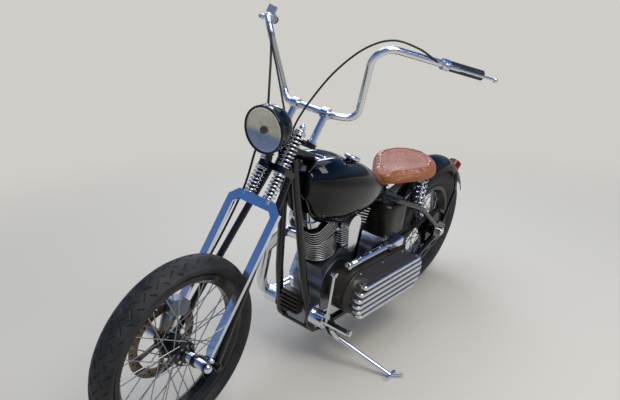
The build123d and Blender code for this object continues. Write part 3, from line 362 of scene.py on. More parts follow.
# A round tube along a path of points, with its radius in metres; spare is a direction that it never takes
def tubeAlong(path, radius, sides=16, spare=None):
    ways = unit(np.gradient(path, axis=0))
    across = squareTo(ways)[0] if spare is None else unit(np.cross(ways, spare))
    other = np.cross(ways, across)
    turn = fullTurn(sides)[None, :, None]
    circle = np.cos(turn) * across[:, None] + np.sin(turn) * other[:, None]
    return closedRings(path[:, None] + radius * circle)


# Smooth curve through the rows of a table: each step is the cubic whose slope at a row is half the
# difference of its neighbours
def smoothRows(table, steps):
    table = np.asarray(table, float)
    padded = np.concatenate([2 * table[:1] - table[1:2], table, 2 * table[-1:] - table[-2:-1]])
    at = np.linspace(0, len(table) - 1, (len(table) - 1) * steps + 1)
    k = np.minimum(at.astype(int), len(table) - 2)
    t = (at - k)[:, None]
    a, b, c, d = (padded[k + i] for i in range(4))
    return (b + t * (c - a) / 2 + t ** 2 * (a - 2.5 * b + 2 * c - d / 2)
            + t ** 3 * (1.5 * (b - c) + (d - a) / 2))


# Wire wound round the line from foot to top: a circle of the given radius that climbs evenly
def coilPart(foot, top, radius, wire, turns):
    way = unit(top - foot)
    across, other = squareTo(way)
    at = np.linspace(0, 1, turns * 24 + 1)[:, None]
    path = foot + at * (top - foot) + radius * (np.cos(at * turns * 2 * np.pi) * across
                                                + np.sin(at * turns * 2 * np.pi) * other)
    return tubeAlong(path, wire, 10, way)


# Several parts as one, with each part's faces counted on from the points before it
def merged(parts):
    starts = np.cumsum([0] + [len(part[0]) for part in parts[:-1]])
    return (np.concatenate([part[0] for part in parts]),
            np.concatenate([part[1] + start for part, start in zip(parts, starts)]),
            np.concatenate([part[2] + start for part, start in zip(parts, starts)]))


# Copies of a small template, its +Z turned to each axis
def copies(template, places, axes):
    points, quads, tris = template
    axes = unit(axes)
    across, other = squareTo(axes)
    moved = (np.asarray(places)[:, None] + points[None, :, :1] * across[:, None]
             + points[None, :, 1:2] * other[:, None] + points[None, :, 2:] * axes[:, None])
    step = (np.arange(len(places)) * len(points))[:, None, None]
    return moved.reshape(-1, 3), (quads[None] + step).reshape(-1, 4), (tris[None] + step).reshape(-1, 3)


# Makes the object of a part, with its faces turned outwards, and gives it its body and replaced nodes
def meshPiece(name, part, material, body=None, replaces=(), smooth=True):
    points, quads, tris = part
    mesh = bpy.data.meshes.new(name)
    mesh.from_pydata(points.tolist(), [], quads.tolist() + tris.tolist())
    work = bmesh.new()
    work.from_mesh(mesh)
    bmesh.ops.recalc_face_normals(work, faces=work.faces)
    work.to_mesh(mesh)
    work.free()
    mesh.polygons.foreach_set("use_smooth", [smooth] * len(mesh.polygons))
    mesh.materials.append(material)
    mesh.update()
    piece = bpy.data.objects.new(name, mesh)
    bpy.context.collection.objects.link(piece)
    if body:
        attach(piece, body)
        for node in replaces:
            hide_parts(node)
    return piece


# Small templates that stand on the origin along +Z
origin = np.zeros(3)
upright = np.array([0.0, 0.0, 1.0])
hexNut = turned([(0, 0), (0, 6.2), (4.2, 6.2), (5.2, 5.2), (5.2, 0)], origin, upright, 6)
capScrew = turned([(0, 0), (0, 4.6), (4.4, 4.6), (5.2, 3.8), (5.2, 2.4), (3.0, 2.2), (3.0, 0)],
                  origin, upright, 16)
acornNut = turned([(0, 0), (0, 11), (9, 11), (12, 9.4), (18, 7), (21, 3.6), (22, 0)], origin, upright, 24)
nipple = turned([(-9, 0), (-9, 2.6), (2, 3.4), (8, 3.4), (9, 2.4), (9, 0)], origin, upright, 8)


# Tyres with tread

# Millimetres; a cut is its start and end, each a share of the pitch and a place off the middle, and its width
frontTread = {"name": "frontTyreTread", "node": "front_tyre", "body": "front_wheel",
              "radius": 346.5, "halfWidth": 52.5, "shoulderHalf": 43.0, "shoulderDrop": 19.0,
              "beadRadius": 274.0, "rimHalf": 33.0, "pitches": 36, "around": 1080, "grooveDepth": 4.6,
              "cuts": ((0.04, 4, 0.42, 17, 3.2), (0.94, 19, 0.58, 33, 3.2), (0.10, 34, 0.36, 45, 3.0))}
rearTread = {"name": "rearTyreTread", "node": "rear_tyre", "body": "rear_wheel",
             "radius": 326.0, "halfWidth": 66.0, "shoulderHalf": 55.0, "shoulderDrop": 21.0,
             "beadRadius": 203.0, "rimHalf": 44.0, "pitches": 30, "around": 1080, "grooveDepth": 5.0,
             "cuts": ((0.04, 6, 0.42, 22, 3.6), (0.94, 25, 0.58, 42, 3.6), (0.10, 43, 0.36, 57, 3.4))}
# slope: how far a groove's side reaches; rings: their shares of the way down the side wall
tyreForm = {"slope": 0.9, "beadInset": 3.8, "lipRise": 15.0, "widestRise": 4, "rings": (0.3, 0.82),
            "ringHeight": 0.7, "ringHalf": 0.04}


# How deep the tread is cut, 0 to 1: 1 - (distance to the nearest cut - half its width) / slope, held
# between 0 and 1, where the straight cuts repeat once a pitch and are mirrored half a pitch on
def treadDepth(t, along, width):
    pitch = 2 * np.pi * t["radius"] / t["pitches"]
    depth = np.zeros_like(along)
    for hand in (1, -1):
        u = (along + (0.5 * pitch if hand < 0 else 0)) / pitch
        for u0, v0, u1, v1, w in t["cuts"]:
            for shift in (-1, 0, 1):
                px = (u - np.floor(u) - u0 - shift) * pitch
                py = width * hand - v0
                dx, dy = (u1 - u0) * pitch, v1 - v0
                k = np.clip((px * dx + py * dy) / (dx * dx + dy * dy), 0, 1)
                gap = np.hypot(px - k * dx, py - k * dy) - w / 2
                depth = np.maximum(depth, np.clip(1 - gap / tyreForm["slope"], 0, 1))
    return depth


# A closed section carried round the axle: the crown is an arc through both shoulders, the side wall the
# curve of second degree through the shoulder, the widest point and the bead
def treadedTyre(t):
    arc = (t["shoulderHalf"] ** 2 + t["shoulderDrop"] ** 2) / (2 * t["shoulderDrop"])
    edge = math.asin(t["shoulderHalf"] / arc)
    turns = np.linspace(-edge, edge, 57)
    crown = np.stack([arc * np.sin(turns), t["radius"] - arc + arc * np.cos(turns)], 1)
    bead, lip = t["rimHalf"] - tyreForm["beadInset"], t["beadRadius"] + tyreForm["lipRise"]
    shoulder = t["radius"] - t["shoulderDrop"]
    s = np.linspace(0, 1, 15)[1:]
    away = np.abs(s[:, None] - np.array([tyreForm["rings"]]))
    rings = tyreForm["ringHeight"] * np.clip(1 - away / tyreForm["ringHalf"], 0, 1).sum(1)
    atShoulder, atWidest, atBead = (1 - s) * (1 - 2 * s), 4 * s * (1 - s), s * (2 * s - 1)
    widest = (lip + shoulder) / 2 + tyreForm["widestRise"]
    side = np.stack([t["shoulderHalf"] * atShoulder + t["halfWidth"] * atWidest + bead * atBead + rings * 0.5,
                     shoulder * atShoulder + widest * atWidest + lip * atBead], 1)
    foot = [[bead, t["beadRadius"]], [-bead, t["beadRadius"]]]
    section = np.concatenate([side[::-1] * [-1, 1], crown, side, foot])
    onCrown = np.zeros(len(section))
    onCrown[len(side):len(side) + len(crown)] = 1.0
    theta = fullTurn(t["around"])
    across, radius = section[:, 0], section[:, 1]
    along = (theta * t["radius"])[:, None] + np.zeros_like(across)[None, :]
    depth = treadDepth(t, along, across[None, :] + np.zeros_like(theta)[:, None])
    r = (radius[None, :] - depth * t["grooveDepth"] * onCrown[None, :]) / 1000
    axle = frontAxle if t["body"] == "front_wheel" else rearAxle
    spokeWays = bikeAhead * np.cos(theta)[:, None, None] + bikeUp * np.sin(theta)[:, None, None]
    points = (axle[None, None, :] + bikeLeft * (across / 1000)[None, :, None] + spokeWays * r[:, :, None])
    part = points.reshape(-1, 3), gridFaces(len(theta), len(section), True, True), np.zeros((0, 3), int)
    meshPiece(t["name"], part, tyreRubber, t["body"], (t["node"],))


treadedTyre(frontTread)
treadedTyre(rearTread)
print("tyres made")


# Wheel trim: spoke nipples at the rim, screws through the hub flange and a valve

wheelTrim = {
    "front_wheel": {"spokeEnd": 262.0, "flange": 46.0, "flangePlace": 39.5, "valve": 258.0},
    "rear_wheel": {"spokeEnd": 190.0, "flange": 60.0, "flangePlace": 46.5, "valve": 187.0},
}
trim = {"spokes": 40, "spokeOffset": 5.2, "screws": 8, "screwInset": 14, "screwTurn": 0.2, "valveTurn": 1.1}


# Points round an axle at each turn, out by the radius and to the left, and the directions outwards
def wheelPoints(axle, radius, turns, left):
    turns = np.asarray(turns)[:, None]
    ways = np.cos(turns) * bikeAhead + np.sin(turns) * bikeUp
    return axle + ways * radius / 1000 + bikeLeft * np.asarray(left, float).reshape(-1, 1) / 1000, ways


# Nipples at the spoke ends, hexagon nuts on both hub flanges and a turned valve stem
def makeWheelTrim(body, w):
    axle = frontAxle if body == "front_wheel" else rearAxle
    turns = np.arange(trim["spokes"]) * 2 * np.pi / trim["spokes"]
    sides = np.tile([trim["spokeOffset"], -trim["spokeOffset"]], trim["spokes"] // 2)
    places, ways = wheelPoints(axle, w["spokeEnd"], turns, sides)
    parts = [copies(nipple, places, -ways)]
    screwTurns = np.arange(trim["screws"]) * 2 * np.pi / trim["screws"] + trim["screwTurn"]
    for hand in (1, -1):
        radius, left = w["flange"] - trim["screwInset"], hand * w["flangePlace"]
        places, ways = wheelPoints(axle, radius, screwTurns, left)
        parts.append(copies(hexNut, places, np.tile(bikeLeft * hand, (trim["screws"], 1))))
    places, ways = wheelPoints(axle, w["valve"], [trim["valveTurn"]], 0)
    parts.append(turned([(0, 0), (0, 4), (8, 4), (9, 3), (34, 3), (36, 2), (36, 0)], places[0], -ways[0], 12))
    meshPiece(body.split("_")[0] + "WheelTrim", merged(parts), chromePlate, body, smooth=False)


for body, w in wheelTrim.items():
    makeWheelTrim(body, w)

# rows: radius, and turn as a share of the step between holes
drilling = {"place": -74.0, "halfThickness": 2.6, "rows": ((134.0, 0.0), (121.0, 0.5)), "holes": 20,
            "radius": 4.6, "height": 0.3}


# The holes of the front disc are not bored: each is a thin disc of painted shade that lies on a face of it
def makeDrilling():
    reach, height = drilling["radius"], drilling["height"]
    holeShade = turned([(0, 0), (0, reach), (height, reach), (height, 0)], origin, upright, 14)
    parts = []
    for radius, step in drilling["rows"]:
        turns = (np.arange(drilling["holes"]) + step) * 2 * np.pi / drilling["holes"]
        for hand in (1, -1):
            left = drilling["place"] + hand * drilling["halfThickness"]
            places, ways = wheelPoints(frontAxle, radius, turns, left)
            parts.append(copies(holeShade, places, np.tile(bikeLeft * hand, (len(turns), 1))))
    meshPiece("discHolesPaintedShade", merged(parts), sootAndPaintedShade, "front_wheel")


makeDrilling()
print("wheel trim made")


# Headlight: a reflector bowl, a bulb shield and a fluted lens in the place of the plain one

lamp = {"ahead": 189.0, "level": 793.0, "tilt": -3.0, "lensRadius": 78.0, "bulge": 9.0, "thickness": 4.0,
        "flutes": 26, "fluteHeight": 0.5}
lampPlace = onFork((lamp["ahead"], 0, lamp["level"]))
lampTilt = math.radians(lamp["tilt"])
lampAxis = math.cos(lampTilt) * bikeAhead + math.sin(lampTilt) * bikeUp


# The lens bulges by 1 - reach^2; upright flutes on its back are a cosine of the sideways place
def makeLens():
    reach = np.linspace(0, 1, 36)[1:, None]
    turn = fullTurn(144)[None, :]
    left, up = lamp["lensRadius"] * reach * np.cos(turn), lamp["lensRadius"] * reach * np.sin(turn)
    bulge = lamp["bulge"] * (1 - reach ** 2)
    flute = lamp["fluteHeight"] * np.cos(left * lamp["flutes"] * np.pi / lamp["lensRadius"])
    flute = flute * np.clip((1 - reach) * 12, 0, 1)
    upWay = np.cross(lampAxis, bikeLeft)
    sheets = []
    for depth, sign in ((bulge, 0.0), (bulge - lamp["thickness"], 1.0)):
        along = depth - flute * sign
        sheets.append(lampPlace + (along[..., None] * lampAxis + left[..., None] * bikeLeft
                                   + up[..., None] * upWay) / 1000)
    rings = np.concatenate([sheets[0], sheets[1][::-1]])
    front, back = lamp["bulge"] / 1000, (lamp["bulge"] - lamp["thickness"]) / 1000
    part = closedRings(rings, (lampPlace + lampAxis * front, lampPlace + lampAxis * back))
    meshPiece("flutedLens", part, lensGlass, "fork", ("headlight_lens",))


makeLens()
# Painted reflection colours of the reflector bowl: blue for its lower half and warm white for its upper half
lampPaintedReflection = {"low": "#8CA6DC", "high": "#FBF5E8"}


# Silvered glass with a painted reflection: a warm upper half and a blue lower half coloured in, in place of
# what a real bowl mirrors
def bowlPaintedReflectionFinish():
    material, tree, shader, place = newMaterial("silvered reflector with painted reflection")
    away = addNode(tree, "ShaderNodeVectorMath", {"operation": "SUBTRACT"}, _0=place, _1=tuple(lampPlace))
    level = addNode(tree, "ShaderNodeVectorMath", {"operation": "DOT_PRODUCT"}, _0=(away, "Vector"),
                    _1=tuple(bikeUp))
    reach = lamp["lensRadius"] / 1000
    height = addNode(tree, "ShaderNodeMapRange", Value=(level, "Value"), _1=-reach, _2=reach)
    tint = rampBetween(tree, (height, "Result"), 0.38, 0.52, lampPaintedReflection["low"], lampPaintedReflection["high"])
    fillSockets(tree, shader, Base_Color=(tint, "Color"), Metallic=0.65, Roughness=0.2)
    return material


lampParts = {
    # profile of (along, radius) in millimetres, sides, material, slot
    "lampBowl": ([(-7.6, 0), (-7.4, 20), (-6.4, 44), (-4.6, 62), (-1.6, 76.5), (-2.4, 77.2), (-7.9, 77.4),
                  (-7.9, 0)], 96, bowlPaintedReflectionFinish(), "chrome"),
    "bulbShield": ([(-7, 0), (-7, 12), (-3, 13), (0.5, 12), (2.5, 8), (3, 0)], 40, sootAndPaintedShade, "black_rubber"),
    "lampRim": ([(-19.5, 0), (-20, 84.2), (-3, 85.2), (1.5, 84.4), (3.0, 81.6), (2.0, 79.2), (-1.2, 78.4),
                 (-1.2, 77.4), (-19, 77.4), (-19, 0)], 96, navyEnamel, "black_paint"),
}
for name, (profile, count, material, slot) in lampParts.items():
    meshPiece(name, turned(profile, lampPlace, lampAxis, count), material, "fork")
print("headlight made")


# Fuel tank: two lobes with a valley between them, open underneath for the backbone, and a cap

tank = {
    # ahead, top, bottom, half width
    "rows": ((1122, 892, 760, 74), (1064, 924, 668, 124), (948, 914, 624, 146), (790, 858, 626, 140),
             (620, 762, 636, 98), (506, 676, 628, 52)),
    "squareness": 2.5, "endBulge": 16.0, "valleyDepth": 24.0, "valleyHalf": 34.0, "tunnelHalf": 50.0,
    # ahead, up of the roof over the backbone
    "roof": ((470, 645), (560, 672), (700, 750), (1130, 862)),
}


# Each section is |y/w|^n + |z/h|^n = 1 with its middle lowered by a bell curve, and its ends draw in as a
# quarter circle; the underside is cut by a straight tunnel
def tankPart():
    rows = smoothRows(tank["rows"], 10)
    draw = np.linspace(0, np.pi / 2, 7)[1:]
    ends = []
    for row, way in ((rows[0], 1), (rows[-1], -1)):
        ahead = row[0] + way * tank["endBulge"] * np.sin(draw)
        middle, half = (row[1] + row[2]) / 2, (row[1] - row[2]) / 2
        shrink = np.maximum(np.cos(draw), 0.05)
        ends.append(np.stack([ahead, middle + half * shrink, middle - half * shrink, row[3] * shrink], 1))
    rows = np.concatenate([ends[0][::-1], rows, ends[1]])
    ahead, top, bottom, half = (rows[:, i:i + 1] for i in range(4))
    middle, height = (top + bottom) / 2, (top - bottom) / 2
    tunnel = np.minimum(tank["tunnelHalf"], half * 0.6)
    low = np.arcsin((1 - (tunnel / half) ** tank["squareness"]) ** 0.5)
    turn = np.linspace(0, 1, 65)[None, :] * (np.pi + 2 * low) - low
    power = 2 / tank["squareness"]
    y = half * signedPower(np.cos(turn), power)
    z = middle + height * signedPower(np.sin(turn), power)
    valley = tank["valleyDepth"] * np.minimum(half / 124, 1) * np.exp(-(y / tank["valleyHalf"]) ** 2)
    z = z - valley * (np.sin(turn) > 0)
    roofLine = np.array(tank["roof"])
    roof = np.interp(ahead, roofLine[:, 0], roofLine[:, 1])
    roof = np.clip(roof, np.minimum(z[:, :1], z[:, -1:]), z[:, 32:33] - 8)
    y = np.concatenate([y, y[:, -1:], y[:, :1]], 1)
    z = np.concatenate([z, roof, roof], 1)
    points = np.stack([np.broadcast_to(ahead, y.shape), y, z], -1)
    return closedRings(onBike(points))


meshPiece("tankShell", tankPart(), navyEnamel, "frame", ("fuel_tank",))

# line: ahead, up
console = {"line": ((1100, 872), (1060, 905), (948, 897), (790, 840), (640, 756), (556, 694)),
           "half": 25.0, "height": 16.0, "power": 0.6, "endTurn": 0.15, "endPower": 0.3}


# The dash strip along the valley: a half superellipse carried along the line, narrower towards its ends
def makeConsole():
    line = smoothRows(console["line"], 8)
    turn = np.linspace(0, np.pi, 15)
    sweep = np.linspace(console["endTurn"], np.pi - console["endTurn"], len(line))
    fade = np.sin(sweep)[:, None] ** console["endPower"]
    y = console["half"] * signedPower(np.cos(turn), console["power"]) * fade
    z = line[:, 1:] + console["height"] * (np.sin(turn) ** console["power"] - 1) * np.ones_like(fade)
    points = np.stack([np.broadcast_to(line[:, :1], y.shape), y, z], -1)
    meshPiece("dashStrip", closedRings(onBike(points)), navyEnamel, "frame")


makeConsole()
tankFittings = {
    # profile of (along, radius) in millimetres, place, axis, sides, material, slot, replaced nodes
    "tankCap": ([(-14, 0), (-14, 22), (-2, 22), (-2, 31), (2, 33), (9, 33), (12, 30), (12.5, 0)],
                (892, 76, 899), (-0.34, 0.06, 0.94), 64, chromePlate, "chrome", ("tank_cap",)),
    "dialCup": ([(-14, 0), (-14, 30), (4, 38), (14, 39), (16, 36), (13, 34.5), (13, 0)],
                (1028, 0, 898), (-0.2, 0.0, 0.98), 64, chromePlate, "chrome", ()),
    "dialFace": ([(12.8, 0), (12.8, 34), (14, 34), (14, 0)],
                 (1028, 0, 898), (-0.2, 0.0, 0.98), 64, dialFace, "black_rubber", ()),
    "ignitionKnob": ([(-12, 0), (-12, 17), (3, 17), (6, 14), (6, 5), (16, 4.5), (17, 0)],
                     (760, 0, 826), (-0.4, 0.0, 0.92), 32, chromePlate, "chrome", ()),
}
for name, (profile, place, axis, count, material, slot, replaced) in tankFittings.items():
    part = turned(profile, onBike(place), np.array(axis) @ bikeAxes, count)
    meshPiece(name, part, material, "frame", replaced)
print("tank made")


# Saddle: a stuffed leather cushion, broad behind and narrow in front

# rear and nose: place ahead and radius of the outline's circles in mm; remesh, cap and the places above and
# outside that rays start from are in metres
saddle = {"place": (308.0, 0.0, 722.0), "tilt": -5.7, "rear": (-22.0, 150.0), "nose": (146.0, 62.0),
          "remesh": 0.005, "pressure": 4.0, "frames": 20, "cap": 0.008, "heldBelow": -22, "fill": 0.7,
          "above": 0.06, "outside": 0.08}
saddleTilt = math.radians(saddle["tilt"])
saddleAxes = np.stack([math.cos(saddleTilt) * bikeAhead + math.sin(saddleTilt) * bikeUp, bikeLeft,
                       -math.sin(saddleTilt) * bikeAhead + math.cos(saddleTilt) * bikeUp])


# Points of the tilted saddle in millimetres (ahead, left, up), placed in the frame
def onSaddle(points):
    return onBike(saddle["place"]) + np.asarray(points, float) / 1000 @ saddleAxes


# Outline of two circles and the straight lines that touch both, as a reach for each turn about the rear one
def saddleOutline(count):
    turn = fullTurn(count)
    (rearAt, rearRadius), (noseAt, noseRadius) = saddle["rear"], saddle["nose"]
    lean = math.acos((rearRadius - noseRadius) / (noseAt - rearAt))
    straight = rearRadius / np.cos(np.abs((turn + np.pi) % (2 * np.pi) - np.pi) - lean)
    span = noseAt - rearAt
    c = np.cos(turn)
    onNose = span * c + np.sqrt(np.maximum(noseRadius ** 2 - span ** 2 * (1 - c ** 2), 0))
    angle = np.abs((turn + np.pi) % (2 * np.pi) - np.pi)
    noseTurn = math.atan2(noseRadius * math.sin(lean), span + noseRadius * math.cos(lean))
    reach = np.where(angle < noseTurn, onNose, np.where(angle < lean, straight, rearRadius))
    return turn, reach


# The outline shrunk to each share and raised to each height, which gives a crown that rolls over to its side
def saddlePart():
    turn, reach = saddleOutline(120)
    # share of the outline, height in millimetres
    profile = np.array([(0.25, 12), (0.5, 13), (0.68, 15), (0.76, 15.5), (0.84, 20), (0.92, 20), (0.975, 14),
                        (0.995, 2), (0.995, -14), (0.97, -24), (0.88, -29), (0.5, -30)])
    share, height = profile[:, :1], profile[:, 1:]
    x = saddle["rear"][0] + share * reach * np.cos(turn)
    rings = onSaddle(np.stack([x, share * reach * np.sin(turn), height + 0 * x], -1))
    return closedRings(rings)


# The cloth swells under even pressure without weight; a point moves no further than the cap
def swell(piece):
    start = np.array([v.co for v in piece.data.vertices])
    cloth = piece.modifiers.new("cloth", "CLOTH")
    cloth.settings.use_pressure = True
    cloth.settings.uniform_pressure_force = saddle["pressure"]
    cloth.settings.effector_weights.gravity = 0
    cloth.settings.quality = 5
    low = onSaddle((0, 0, saddle["heldBelow"]))
    up = saddleAxes[2]
    held = piece.vertex_groups.new(name="held")
    held.add(np.flatnonzero((start - low) @ up < 0).tolist(), 1.0, "REPLACE")
    cloth.settings.vertex_group_mass = "held"
    for step in range(1, saddle["frames"] + 1):
        bpy.context.scene.frame_set(step)
    shaped = piece.evaluated_get(bpy.context.evaluated_depsgraph_get())
    end = np.empty(len(start) * 3)
    shaped.data.vertices.foreach_get("co", end)
    move = end.reshape(-1, 3) - start
    length = np.linalg.norm(move, axis=1, keepdims=True)
    move *= np.minimum(1, saddle["cap"] / np.maximum(length, 1e-9))
    piece.modifiers.remove(cloth)
    piece.data.vertices.foreach_set("co", (start + move).ravel())
    bpy.context.scene.frame_set(1)


# An even mesh of the cushion, swollen as cloth, then smoothed
def makeSaddle():
    cushion = meshPiece("saddleCushion", saddlePart(), tanLeather)
    remesh = cushion.modifiers.new("remesh", "REMESH")
    remesh.mode, remesh.voxel_size, remesh.use_smooth_shade = "VOXEL", saddle["remesh"], True
    shaped = cushion.evaluated_get(bpy.context.evaluated_depsgraph_get())
    even = bpy.data.meshes.new_from_object(shaped)
    cushion.modifiers.remove(remesh)
    cushion.data = even
    swell(cushion)
    smooth = cushion.modifiers.new("smooth", "SUBSURF")
    smooth.levels = smooth.render_levels = 1
    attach(cushion, "frame")
    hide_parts("saddle")
    return cushion


# A line of the outline laid on the cushion: rays go inwards (or down) until they meet the leather
def onCushion(tree, share, height, downwards):
    turn, reach = saddleOutline(160)
    x = saddle["rear"][0] + reach * share * np.cos(turn)
    targets = onSaddle(np.stack([x, share * reach * np.sin(turn), np.full_like(x, height)], -1))
    if downwards:
        ways = np.tile(-saddleAxes[2], (len(targets), 1))
        starts = targets + saddleAxes[2] * saddle["above"]
    else:
        middle = onSaddle((saddle["rear"][0], 0, height))
        ways = unit(middle - targets)
        starts = targets - ways * saddle["outside"]
    hits = [tree.ray_cast(Vector(s), Vector(w))[0] for s, w in zip(starts, ways)]
    return np.array([h if h is not None else t for h, t in zip(hits, targets)])


# A round tube along a closed loop of points
def loopTube(points, radius, sides=10):
    ways = unit(np.roll(points, -1, 0) - np.roll(points, 1, 0))
    across = unit(np.cross(ways, saddleAxes[2]))
    other = np.cross(ways, across)
    turn = fullTurn(sides)[None, :, None]
    rings = points[:, None] + radius * (np.cos(turn) * across[:, None] + np.sin(turn) * other[:, None])
    return rings.reshape(-1, 3), gridFaces(len(points), sides, True, True), np.zeros((0, 3), int)


cushion = makeSaddle()
tree = BVHTree.FromObject(cushion, bpy.context.evaluated_depsgraph_get())
lowerPiping = loopTube(onCushion(tree, 1.0, -22, False), 0.0032)
topSeam = loopTube(onCushion(tree, 0.77, 15, True), 0.0016)
meshPiece("saddlePiping", merged([lowerPiping, topSeam]), tanLeather, "frame")

# section of the pan: share, height; spring: ahead, left, foot and top; nose: foot, top and radius of the post
seatMount = {"pan": 0.78, "section": ((0.97, -37.0), (1.0, -36.0), (1.0, -32.0), (0.97, -31.0)),
             "spring": (262.0, 100.0, 534.0, 690.0), "radius": 21.0, "wire": 4.0, "turns": 6,
             "rod": 7.0, "nose": ((436, 0, 642), (436, 0, 688), 12.0)}


# Pan under the cushion, a pivot post at its nose and two coil springs at its tail
def makeSeatMount():
    turn, reach = saddleOutline(96)
    section = np.array(seatMount["section"])
    share = seatMount["pan"] * section[:, :1]
    x = saddle["rear"][0] + share * reach * np.cos(turn)
    height = section[:, 1:] + 0 * x
    parts = [closedRings(onSaddle(np.stack([x, share * reach * np.sin(turn), height], -1)))]
    ahead, left, low, high = seatMount["spring"]
    radius, wire = seatMount["radius"] / 1000, seatMount["wire"] / 1000
    for hand in (1, -1):
        foot, top = onBike((ahead, hand * left, low)), onBike((ahead, hand * left, high))
        parts.append(coilPart(foot, top, radius, wire, seatMount["turns"]))
        parts.append(tubeAlong(np.linspace(foot, top, 4), seatMount["rod"] / 1000, 16))
    low, high, radius = seatMount["nose"]
    parts.append(tubeAlong(onBike(np.linspace(low, high, 4)), radius / 1000, 24))
    meshPiece("seatSprings", merged(parts), chromePlate, "frame", ("seat_mount",))


makeSeatMount()
print("saddle made")


# Primary drive cover: a dark case with six bright ribs that wrap round its ends

primary = {"front": (851.0, 322.0), "rear": (504.0, 312.0), "radius": 94.0, "inner": 168.2,
           "shoulder": 226.0, "face": 243.0, "ribTop": 256.0, "ribFoot": 205.0, "ribs": 6, "pitch": 27.0,
           "width": 15.5, "corner": 16.0, "ribSink": 0.2, "ribArch": 1.4, "ribDepth": 16.0,
           "seam": (14, 14.5), "seamStep": 5.0, "within": 150,
           "screwReach": 84.0, "screwRise": 88.0, "screwPlace": 182.0}
primaryAhead = primary["front"][0] - primary["rear"][0]
primaryRise = primary["front"][1] - primary["rear"][1]
primarySlope = math.atan2(primaryRise, primaryAhead)
primarySpan = math.hypot(primaryRise, primaryAhead)


# Case places: along the line of centres from the rear one, out to the left and up square to the line
def onPrimary(points):
    points = np.asarray(points, float)
    along, left, up = points[..., 0], points[..., 1], points[..., 2]
    ahead = primary["rear"][0] + along * math.cos(primarySlope) - up * math.sin(primarySlope)
    height = primary["rear"][1] + along * math.sin(primarySlope) + up * math.cos(primarySlope)
    return onBike(np.stack([ahead, left, height], -1))


# A long round outline at each depth, drawn in along a quarter circle near the outer face
def casePart():
    turn = np.linspace(-np.pi / 2, np.pi / 2, 33)
    sweep = np.linspace(0, np.pi / 2, 9)
    step, seamStep = primary["face"] - primary["shoulder"], primary["seamStep"]
    seam = [primary["inner"] + depth for depth in (0, *primary["seam"])]
    depth = np.concatenate([seam, primary["shoulder"] + step * np.sin(sweep)])[:, None]
    draw = np.concatenate([[0.0, 0.0, seamStep], seamStep + step * (1 - np.cos(sweep))])[:, None]
    radius = primary["radius"] - draw
    along = np.concatenate([primarySpan + radius * np.cos(turn), -radius * np.cos(turn)], 1)
    up = np.concatenate([radius * np.sin(turn), -radius * np.sin(turn)], 1)
    return closedRings(onPrimary(np.stack([along, np.broadcast_to(depth, along.shape), up], -1)))


# One rib: a strip led up the front end, along the face and down the rear end; its top falls away from the
# middle as the fourth power of the place across it
def ribPart(offset):
    reach = math.sqrt((primary["radius"] - 4) ** 2 - offset ** 2)
    front, rear, c, top = primarySpan + reach, -reach, primary["corner"], primary["ribTop"]
    quarter = np.linspace(0, np.pi / 2, 9)
    path = np.concatenate([[(front, primary["ribFoot"])],
                           np.stack([front - c + c * np.cos(quarter), top - c + c * np.sin(quarter)], 1),
                           np.stack([rear + c - c * np.sin(quarter), top - c + c * np.cos(quarter)], 1),
                           [(rear, primary["ribFoot"])]])
    ways = unit(np.gradient(path, axis=0))
    outward = np.stack([ways[:, 1], -ways[:, 0]], 1)
    inside = [primarySpan / 2, primary["within"]]
    outward = outward * np.where((outward * (path - inside)).sum(1) < 0, -1, 1)[:, None]
    v = np.linspace(-1, 1, 9)
    crown = np.concatenate([-primary["ribSink"] - primary["ribArch"] * v ** 4, [-primary["ribDepth"]] * 2])
    width = np.concatenate([v, [1.0, -1.0]]) * primary["width"] / 2
    flat = path[:, None] + outward[:, None] * crown[None, :, None]
    up = np.broadcast_to(offset + width, flat.shape[:2])
    return closedRings(onPrimary(np.stack([flat[..., 0], flat[..., 1], up], -1)))


offsets = (np.arange(primary["ribs"]) - (primary["ribs"] - 1) / 2) * primary["pitch"]
meshPiece("primaryCase", casePart(), darkCase, "frame", ("primary_cover",))
meshPiece("primaryRibs", merged([ribPart(offset) for offset in offsets]), polishedAluminium, "frame")

# Four screws round each end and three along the top
endTurns = np.linspace(-1.2, 1.2, 4)
endAlong, endUp = primary["screwReach"] * np.cos(endTurns), primary["screwReach"] * np.sin(endTurns)
screwAlong = np.concatenate([primarySpan + endAlong, -endAlong, [0, primarySpan / 2, primarySpan]])
screwUp = np.concatenate([endUp, endUp, [primary["screwRise"]] * 3])
screwLeft = np.full(len(screwUp), primary["screwPlace"])
screwPlaces = onPrimary(np.stack([screwAlong, screwLeft, screwUp], -1))
meshPiece("primaryScrews", copies(capScrew, screwPlaces, np.tile(bikeLeft, (len(screwUp), 1))), chromePlate,
          "frame")

starter = {"path": ((862, 134, 434), (478, 134, 424)), "radius": 0.016,
           # ahead, half width, low, high
           "wedge": ((592, 14, 436, 442), (566, 25, 414, 448), (470, 27, 414, 456), (462, 24, 418, 450))}
starterPath = onBike(np.linspace(*starter["path"], 6))
starterWay = unit(starterPath[-1] - starterPath[0])
starterCap = turned([(0, 0), (0, 17), (3, 19), (16, 19), (19, 16), (20, 0)], origin, upright, 32)


# The block at its tail: rectangles with cut corners, one at each station
def wedgePart():
    rows = np.array(starter["wedge"], float)
    corner = np.array([(1, 0.8), (0.8, 1), (-0.8, 1), (-1, 0.8),
                       (-1, -0.8), (-0.8, -1), (0.8, -1), (1, -0.8)])
    middle, half = (rows[:, 2] + rows[:, 3]) / 2, (rows[:, 3] - rows[:, 2]) / 2
    y = starter["path"][0][1] + rows[:, 1:2] * corner[:, 0]
    z = middle[:, None] + half[:, None] * corner[:, 1]
    return closedRings(onBike(np.stack([np.broadcast_to(rows[:, :1], y.shape), y, z], -1)))


